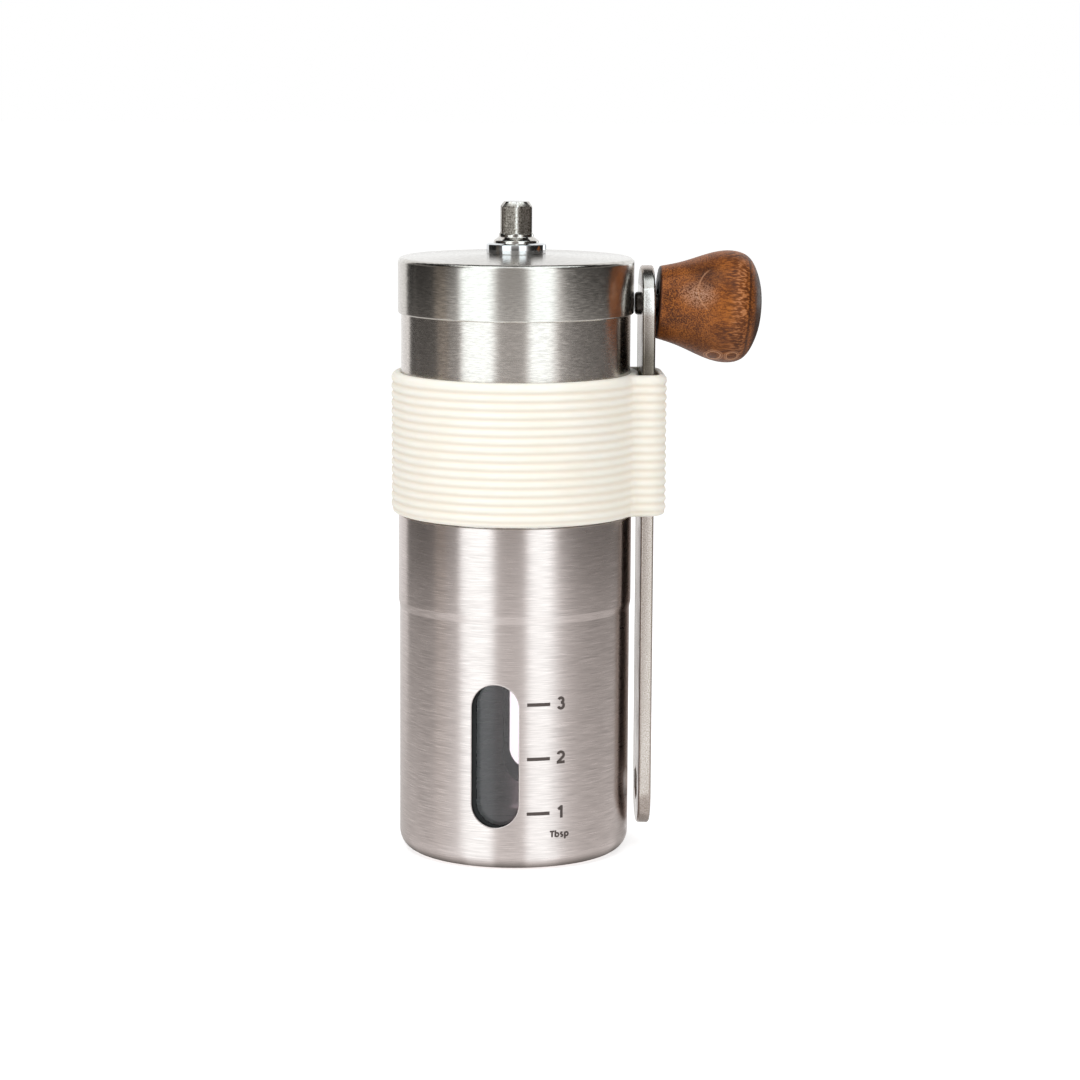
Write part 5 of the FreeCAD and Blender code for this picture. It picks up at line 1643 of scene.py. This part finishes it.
@dataclass(frozen=True)
class Crank:
    """Steel arm, the axle peened in it and the wooden knob that hangs a little on the axle."""

    near: float = 25.5
    far: float = 28.1
    half_width: float = 8.0
    foot: float = 4.8
    top: float = 121.4
    edge: float = 0.5
    socket: float = 13.3
    socket_flats: float = 6.5
    axle: float = 113.6
    axle_hole: float = 1.62
    hole_edge: float = 0.15
    peen_radius: float = 2.35
    peen_height: float = 1.15
    peen_round: float = 0.63
    axle_radius: float = 1.9
    head_foot: float = 45.4
    head_radius: float = 3.4
    head_thickness: float = 1.4
    head_round: float = 0.4
    knob_foot: float = 28.95
    pivot: float = 4.1
    droop: float = 3.6
    knob_bore: float = 4.3
    bore_depth: float = 19.0
    knob_rim: tuple[Corner, ...] = ((7.1, 0.0), (7.3, 0.08))
    knob_points: tuple[Corner, ...] = (
        (7.4, 0.0), (8.75, 5.0), (10.65, 10.0), (11.5, 14.6), (10.6, 17.9), (7.6, 20.0), (3.8, 21.1), (0.0, 21.35))
    knob_slopes: tuple[Corner, Corner] = ((0.22, 1.0), (-1.0, 0.0))
    knob_rows: int = 91
    knots: tuple[Corner, ...] = ((8.0, 240, 1.45, 1.0), (11.7, 238, 1.1, 0.85))

    def arm(self) -> Surface:
        """Flat bar with round ends and rounded edges, a hexagonal socket and the hole of the axle.

        Returns:
            The closed arm.
        """
        hole_rows = [(self.near, self.hole_edge), (self.near + self.hole_edge, 0.0),
                     (self.far - self.hole_edge, 0.0), (self.far, self.hole_edge)]
        made = []
        for loop, rows in ((self.bar_loop, softened(self.near, self.far, self.edge, 8)),
                           (self.socket_loop, hole_rows), (self.axle_loop, hole_rows)):
            wall = np.stack([self.upright(loop(change), x) for x, change in rows], axis=1)
            made.append(grid(wall, wrap=(True, False)))
        rims = [self.bar_loop(self.edge), self.socket_loop(self.hole_edge), self.axle_loop(self.hole_edge)]
        made += [flat_fill([self.upright(rim, x) for rim in rims]) for x in (self.near, self.far)]
        return joined(made)

    @staticmethod
    def upright(loop: Array, x: float) -> Array:
        """A loop of y and z placed at an x."""
        return np.column_stack([np.full(len(loop), x), loop])

    def bar_loop(self, inset: float) -> Array:
        """The bar's outline: two half circles.

        Args:
            inset: how far it is drawn in.

        Returns:
            Rows of y and z.
        """
        arc = circle(np.linspace(0, math.pi, 33), self.half_width - inset)
        top = (0, self.top - self.half_width) + arc
        bottom = (0, self.foot + self.half_width) - arc
        return np.vstack([top, bottom])

    def socket_loop(self, grow: float) -> Array:
        """The hexagonal socket, four points on each side.

        Args:
            grow: how far it is widened.

        Returns:
            Rows of y and z.
        """
        radius = (self.socket_flats / 2 + grow) / math.cos(math.pi / 6)
        spots = circle(np.linspace(0, math.tau, 7), radius)[:, ::-1] + (0, self.socket)
        share = np.linspace(0, 1, 5)[:-1, None]
        return np.vstack([a + (b - a) * share for a, b in zip(spots[:-1], spots[1:])])

    def axle_loop(self, grow: float) -> Array:
        """The axle's round hole, widened by an amount."""
        return (0, self.axle) + circle(full_turn(32), self.axle_hole + grow)

    def along_x(self, points: Array) -> Array:
        """Lay points that were turned round Z on the axle's line, so that their z becomes x."""
        return np.stack([points[..., 2], points[..., 1], self.axle - points[..., 0]], axis=-1)

    def hung(self, points: Array) -> Array:
        """Lay points that were turned round Z on the knob's line, which slopes down from the arm.

        Args:
            points: x, y, z in the last axis.

        Returns:
            The points, turned about the pivot.
        """
        slope = math.radians(self.droop)
        along, drop = points[..., 2] - self.pivot, -points[..., 0]
        return np.stack([
            self.knob_foot + self.pivot + along * math.cos(slope) + drop * math.sin(slope),
            points[..., 1],
            self.axle - along * math.sin(slope) + drop * math.cos(slope)], axis=-1)

    def axle_surface(self) -> Surface:
        """Peened head on the arm's inner side, the pin, and the head inside the knob.

        Returns:
            The closed axle.
        """
        peen, head_top = self.near - self.peen_height, self.head_foot + self.head_thickness
        outline = rounded([
            (0, peen), (self.peen_radius, peen, self.peen_round), (self.peen_radius, self.near),
            (self.axle_hole, self.near), (self.axle_hole, self.far), (self.axle_radius, self.far),
            (self.axle_radius, self.head_foot), (self.head_radius, self.head_foot),
            (self.head_radius, head_top, self.head_round), (0, head_top)], 6, False)
        return grid(self.along_x(revolve(outline, full_turn(48))), wrap=(True, False))

    def knob_outline(self) -> Array:
        """Side of the knob: a cubic curve through its points, even in slope and bend, timed by the chords.

        The slopes at the points solve one row for each: the bend before a point equals the bend after it.

        Returns:
            Rows of radius and height.
        """
        spots = np.array(self.knob_points)
        chords = np.linalg.norm(np.diff(spots, axis=0), axis=1)
        times = np.concatenate([[0], np.cumsum(chords)])
        before, after = chords[:-1, None], chords[1:, None]
        inner = np.arange(1, len(spots) - 1)
        system = np.zeros((len(spots), len(spots)))
        system[0, 0] = system[-1, -1] = 1
        system[inner, inner - 1], system[inner, inner + 1] = after[:, 0], before[:, 0]
        system[inner, inner] = 2 * (before + after)[:, 0]
        steps = np.diff(spots, axis=0)
        bends = 3 * (after * steps[:-1] / before + before * steps[1:] / after)
        first, last = (unit(np.array(slope)) for slope in self.knob_slopes)
        slopes = np.linalg.solve(system, np.vstack([first, bends, last]))
        when = np.linspace(0, times[-1], self.knob_rows)
        part = np.clip(np.searchsorted(times, when, side="right") - 1, 0, len(spots) - 2)
        step = chords[part][:, None]
        share = (when - times[part])[:, None] / step
        return ((1 + 2 * share) * (1 - share) ** 2 * spots[part] + share * (1 - share) ** 2 * step * slopes[part]
                + share ** 2 * (3 - 2 * share) * spots[part + 1] + share ** 2 * (share - 1) * step * slopes[part + 1])

    def knob(self) -> Surface:
        """The knob's side, its foot with a softened rim, and the blind bore.

        Returns:
            The closed knob.
        """
        bore = [(0.0, self.bore_depth), (self.knob_bore, self.bore_depth), (self.knob_bore, 0.0)]
        outline = np.vstack([bore, self.knob_rim, self.knob_outline()[1:]])
        return grid(self.hung(revolve(outline, full_turn(128))), wrap=(True, False))

    def build(self) -> None:
        """Make the arm, the axle and the knob, and dress the small parts between them."""
        # Beech, turned, stained and lacquered: warm brown, a fine dark speckle and only a faint gloss.
        wood = StainedWood("stained_turned_wood", "#7a4117", 0.5, pivot=(self.knob_foot + self.pivot, 0.0, self.axle),
                           droop=self.droop, foot=self.pivot, knots=self.knots)
        Piece("crank_arm_steel", Body.CRANK, CRANK_STEEL, "crank_steel", ("crank_arm",), crease=25).make(self.arm())
        Piece("knob_axle_steel", Body.CRANK, AXLE_STEEL, "axle_steel", ("knob_axle",)).make(self.axle_surface())
        Piece("knob_wood", Body.KNOB, wood, "knob_wood", ("knob",)).make(self.knob())
        dress(NYLON, "knob_washer", "knob_sleeve")


@dataclass(frozen=True)
class Softbox:
    """Soft light round the object.

    Attributes:
        name: the lamp's name.
        bearing: degrees from the camera's side, towards the crank.
        width: mm.
        height: mm.
        middle: height of its middle, mm.
        distance: mm from the object's axis.
        power: watts.
    """

    name: str
    bearing: float
    width: float
    height: float
    middle: float
    distance: float
    power: float


@dataclass(frozen=True)
class Station:
    """Brightness of the studio's surround at one bearing.

    Attributes:
        bearing: degrees from the camera's side, towards the crank.
        near: on the floor beside the object.
        far: at the foot of the wall.
        low: on the wall, level with the object.
        high: on the upper wall.
        top: on the ceiling.
        warm: how brown it is.
    """

    bearing: float
    near: float
    far: float
    low: float
    high: float
    top: float
    warm: float = 0.0


@dataclass(frozen=True)
class Studio:
    """Camera, floor, soft lamps and the surround that the steel mirrors."""

    turn: float = -2.7
    side: float = 4.53
    distance: float = 707.36
    height: float = 173.55
    yaw: float = 0.000935
    pitch: float = 0.15291
    roll: float = 0.005514
    lens: float = 115.35
    floor_size: float = 9000.0
    ambient: float = 0.55
    floor_glow: float = 0.55
    inner_radius: float = 21.6
    shaded_radius: float = 25.5
    foot_shade: float = 0.1
    ring_height: float = 0.3
    wall_distance: float = 520.0
    wall_levels: tuple[float, float, float, float] = (55.0, 78.0, 92.0, 125.0)
    shelf_levels: tuple[float, float, float, float] = (170.0, 210.0, 320.0, 360.0)
    shelf: float = 0.22
    wall_radius: float = 23.76
    wall_height: float = 700.0
    zenith_radius: float = 80.0
    zenith_blend: float = 30.0
    ceiling_blend: float = 40.0
    zenith: float = 0.06
    warmth: float = 0.06
    coolness: float = 0.065
    fall: float = 1.2
    mirror_rounds: int = 30
    aim_share: float = 0.6
    aim_most: float = 100.0
    lamps: tuple[Softbox, ...] = (
        Softbox("left_softbox", -45, 300, 700, 380, 520, 1.3),
        Softbox("right_softbox", 35, 300, 700, 380, 520, 1.0),
        Softbox("top_softbox", -10, 700, 700, 800, 250, 1.6))
    surround: tuple[Station, ...] = tuple(Station(*levels) for levels in (
        (-180, 0.65, 1.0, 1.0, 1.12, 0.02), (-134.5, 0.65, 1.0, 1.0, 1.12, 0.02),
        (-131.5, 0.87, 0.14, 0.01, 0.01, 0.01), (-119.5, 0.87, 0.14, 0.01, 0.01, 0.01),
        (-117, 0.87, 0.2, 0.08, 0.02, 0.02), (-115, 0.87, 0.2, 0.08, 0.02, 0.02),
        (-113, 0.87, 0.14, 0.02, 0.01, 0.01), (-100, 0.92, 0.14, 0.02, 0.01, 0.01),
        (-95, 0.95, 0.14, 0.02, 0.01, 2.0), (-88, 0.95, 0.14, 0.02, 0.01, 2.0),
        (-83, 1.05, 0.48, 0.1, 0.06, 2.0, 0.14), (-72, 1.15, 0.52, 0.12, 0.06, 2.0, 0.14),
        (-69.5, 1.2, 0.6, 0.15, 0.08, 2.0), (-58, 1.22, 0.62, 0.24, 0.1, 2.0), (-53.5, 1.4, 1.95, 1.9, 2.0, 2.0),
        (-49, 1.8, 1.95, 1.9, 2.0, 2.0), (-25, 1.8, 1.95, 1.9, 2.0, 2.0), (-17, 1.08, 0.72, 0.18, 0.4, 1.2),
        (9, 1.08, 0.7, 0.16, 0.4, 1.2), (16, 1.7, 1.85, 1.9, 2.0, 2.0), (34, 1.8, 1.88, 1.9, 2.0, 2.0),
        (45, 1.6, 0.95, 0.38, 0.25, 2.0), (51, 1.25, 0.8, 0.16, 0.1, 2.0), (60, 1.08, 0.55, 0.05, 0.03, 2.0),
        (70, 0.97, 0.41, 0.02, 0.02, 2.0), (80, 0.89, 0.36, 0.02, 0.02, 2.0), (95, 0.86, 0.28, 0.02, 0.02, 2.0),
        (100, 0.86, 0.25, 0.01, 0.01, 0.02), (109, 0.9, 0.25, 0.03, 0.02, 0.02), (128, 0.9, 0.25, 0.03, 0.02, 0.02),
        (131, 0.6, 0.1, 2.1, 1.1, 0.02), (152, 0.5, 0.05, 2.1, 1.1, 0.02), (156, 0.5, 0.05, 0.02, 1.1, 0.02),
        (162, 0.6, 0.1, 0.05, 1.1, 0.02), (166, 1.1, 0.5, 0.1, 1.12, 0.02), (180, 1.1, 0.5, 0.1, 1.12, 0.02)))

    def camera_axes(self) -> tuple[Array, Array, Array, Array]:
        """Where the camera is and how it is turned, in the object's frame.

        Returns:
            Its place in mm, and its right, up and forward directions.
        """
        forward = np.array([*circle(math.pi / 2 - self.yaw, math.cos(self.pitch)), -math.sin(self.pitch)])
        right = unit(np.cross(forward, (0, 0, 1)))
        up = np.cross(right, forward)
        level = math.cos(self.roll) * right + math.sin(self.roll) * up
        upright = math.cos(self.roll) * up - math.sin(self.roll) * right
        angle = math.radians(self.turn)
        spin = np.array([(math.cos(angle), -math.sin(angle), 0), (math.sin(angle), math.cos(angle), 0), (0, 0, 1)])
        place = np.array([self.side, -self.distance, self.height])
        return tuple(spin @ axis for axis in (place, level, upright, forward))

    def camera(self) -> None:
        """Set the camera where the photograph was taken from."""
        place, right, up, forward = self.camera_axes()
        data = bpy.data.cameras.new("camera")
        data.lens = self.lens
        data.sensor_width = 36.0
        data.clip_start, data.clip_end = 0.01, 50.0
        camera = put_in_scene("camera", data)
        turned_to = Matrix(np.column_stack([right, up, -forward]).tolist()).to_4x4()
        camera.matrix_world = Matrix.Translation(Vector(place * MM)) @ turned_to
        bpy.context.scene.camera = camera

    def seen_directly(self, tree: Tree) -> Node:
        """Tell rays that show a surface from rays that only light with it.

        Args:
            tree: the tree of the material or the world.

        Returns:
            Node that is 1 for rays from the camera, a mirror or glass, and 0 for light.
        """
        rays = add_node(tree, "ShaderNodeLightPath").outputs
        shown = rays["Is Camera Ray"]
        for kind in ("Is Glossy Ray", "Is Transmission Ray"):
            shown = add_node(tree, "ShaderNodeMath", (shown, rays[kind]), operation="MAXIMUM")
        return shown

    def world(self) -> None:
        """White surroundings that light the object softly."""
        world = bpy.data.worlds.new("white_studio")
        bpy.context.scene.world = world
        tree = empty_tree(world)
        strength = add_node(tree, "ShaderNodeMapRange", (self.seen_directly(tree), 0.0, 1.0, self.ambient, 1.0))
        light = add_node(tree, "ShaderNodeBackground", {"Color": (1, 1, 1, 1), "Strength": strength})
        add_node(tree, "ShaderNodeOutputWorld", {"Surface": light})

    def floor(self) -> None:
        """Plain white floor that keeps the object's shadow."""
        ends = np.linspace(-self.floor_size / 2, self.floor_size / 2, 7)
        points = np.stack([*np.meshgrid(ends, ends, indexing="ij"), np.zeros((7, 7))], axis=-1)
        floor = put_in_scene("studio_floor", grid(points).mesh("studio_floor"))
        # White matt paper, which glows a little for the camera and in reflections.
        made = bpy.data.materials.new("white_floor")
        tree = empty_tree(made)
        matt = add_node(tree, "ShaderNodeBsdfDiffuse", {"Color": srgb("#f4f4f4")})
        strength = add_node(tree, "ShaderNodeMath", (self.seen_directly(tree), self.floor_glow), operation="MULTIPLY")
        glow = add_node(tree, "ShaderNodeEmission", {"Color": (1, 1, 1, 1), "Strength": strength})
        add_node(tree, "ShaderNodeOutputMaterial", {"Surface": add_node(tree, "ShaderNodeAddShader", (matt, glow))})
        floor.data.materials.append(made)

    def standing_at(self, bearing: float) -> float:
        """World bearing in radians of a bearing from the camera's side."""
        place = self.camera_axes()[0]
        return math.atan2(place[1], place[0]) + math.radians(bearing)

    def mirrored(self, turned: Array, away: Array) -> Array:
        """Twice the bearing of the wall's point that mirrors a place on the floor to the camera.

        A ray that leaves the wall at half of s runs in the direction s, so s is the place's bearing plus
        the angle whose sine is the wall's radius over the place's distance, times the sine of half of s.

        Args:
            turned: bearing of each place from the camera's side, radians.
            away: its distance from the axis.

        Returns:
            Degrees from -180 to 180.
        """
        turned = (turned + math.pi) % math.tau - math.pi
        seen = turned
        share = np.clip(self.wall_radius / away, 0, 1)
        for _ in range(self.mirror_rounds):
            seen = turned + np.arcsin(np.clip(share * np.sin(np.clip(seen, -math.pi, math.pi) / 2), -1, 1))
        return np.clip(np.degrees(seen), -180, 180)

    def ring(self) -> Surface:
        """Shape of the surround: a profile of floor, wall and ceiling, turned round the object.

        Returns:
            The ring, open in the middle.
        """
        floor = np.concatenate([np.linspace(self.inner_radius, 30, 10)[:-1], np.linspace(30, self.wall_distance, 40)])
        rise = np.linspace(self.ring_height, self.wall_height, 100)
        ceiling = np.linspace(self.wall_distance, 2.0, 45)
        profile = np.vstack([np.column_stack([floor, np.full(len(floor), self.ring_height)]),
                             np.column_stack([np.full(len(rise), self.wall_distance), rise]),
                             np.column_stack([ceiling, np.full(len(ceiling), self.wall_height)])])
        return grid(revolve(profile, self.standing_at(0) + np.radians(np.linspace(-180, 180, 361))))

    def brightness(self, points: Array) -> Array:
        """Light of the surround, from one station to the next along the floor, up the wall and over the ceiling.

        It is darker beside the object, which shades the floor there, and at the zenith. Dark places are a
        little warmer than white and bright ones cooler.

        Args:
            points: rows of x, y, z on the surround, mm.

        Returns:
            Rows of red, green, blue and alpha.
        """
        x, y, z = points.T
        away = np.hypot(x, y)
        bearing = self.mirrored(np.arctan2(y, x) - self.standing_at(0), away)
        near, far, low, high, top, warm = (
            np.interp(bearing, [station.bearing for station in self.surround],
                      [getattr(station, part) for station in self.surround])
            for part in ("near", "far", "low", "high", "top", "warm"))
        out = np.clip((away - self.inner_radius) / (self.wall_distance - self.inner_radius), 0, 1) ** self.fall
        shade = np.interp(away, (self.inner_radius, self.shaded_radius), (self.foot_shade, 1.0))
        up, higher = (np.interp(z, levels, (0.0, 1.0)) for levels in (self.wall_levels[:2], self.wall_levels[2:]))
        tone = (near + (far - near) * out) * shade + (low - far) * up + (high - low) * higher
        tone = np.maximum(tone, np.interp(z, self.shelf_levels, (0.0, self.shelf, self.shelf, 0.0)))
        inwards = np.clip((self.wall_distance - away) / self.ceiling_blend, 0, 1)
        over = np.clip((away - self.zenith_radius) / self.zenith_blend, 0, 1)
        ceiling = self.zenith + (high + (top - high) * inwards - self.zenith) * over
        tone = np.where(z > self.wall_height - 1, ceiling, tone)
        warm = warm * out ** 3 + self.warmth * np.clip(1 - tone, -0.5, 1)
        glare = self.coolness * np.clip(tone - 1, 0, 1)
        return np.column_stack([tone * (1 + 0.6 * warm - glare), tone * (1 - 0.2 * warm), tone * (1 - warm),
                                np.ones_like(tone)])

    def add_surround(self) -> None:
        """Ring of floor, wall and ceiling round the object that only reflections show."""
        obj = put_in_scene("surround", self.ring().mesh("surround"))
        mark_points(obj.data, LIGHT, self.brightness(mesh_points(obj.data)))
        made = bpy.data.materials.new("surround")
        tree = empty_tree(made)
        light = add_node(tree, "ShaderNodeAttribute", attribute_name=LIGHT).outputs["Color"]
        glow = add_node(tree, "ShaderNodeEmission", {"Color": light, "Strength": 1.0})
        add_node(tree, "ShaderNodeOutputMaterial", {"Surface": glow})
        obj.data.materials.append(made)
        for rays in ("camera", "diffuse", "transmission", "shadow"):
            setattr(obj, f"visible_{rays}", False)

    def add_lamp(self, box: Softbox) -> None:
        """Set one rectangular lamp that faces the object.

        Args:
            box: its place, size and power.
        """
        place = Vector((*circle(self.standing_at(box.bearing), box.distance), box.middle)) * MM
        data = bpy.data.lights.new(box.name, "AREA")
        data.shape = "RECTANGLE"
        data.size, data.size_y = box.width * MM, box.height * MM
        data.energy = box.power
        lamp = put_in_scene(box.name, data)
        lamp.location = place
        aim = Vector((0, 0, min(box.middle * self.aim_share, self.aim_most) * MM)) - place
        lamp.rotation_mode = "QUATERNION"
        lamp.rotation_quaternion = aim.to_track_quat("-Z", "Y")
        lamp.visible_glossy = False

    def build(self) -> None:
        """Set the camera, the world, the floor, the surround and the lamps."""
        self.camera()
        self.world()
        self.floor()
        self.add_surround()
        for lamp in self.lamps:
            self.add_lamp(lamp)
        bpy.context.scene.view_settings.view_transform = "Standard"


def main() -> None:
    """Build the sub-assemblies from the cup upwards, then the studio."""
    logging.basicConfig(level=logging.INFO, format="%(message)s")
    for assembly in (GroundsCup(), HopperTube(), GripSleeve(), Lid(), DriveShaft(), Crank(), Studio()):
        assembly.build()


if __name__ == "__main__":
    main()
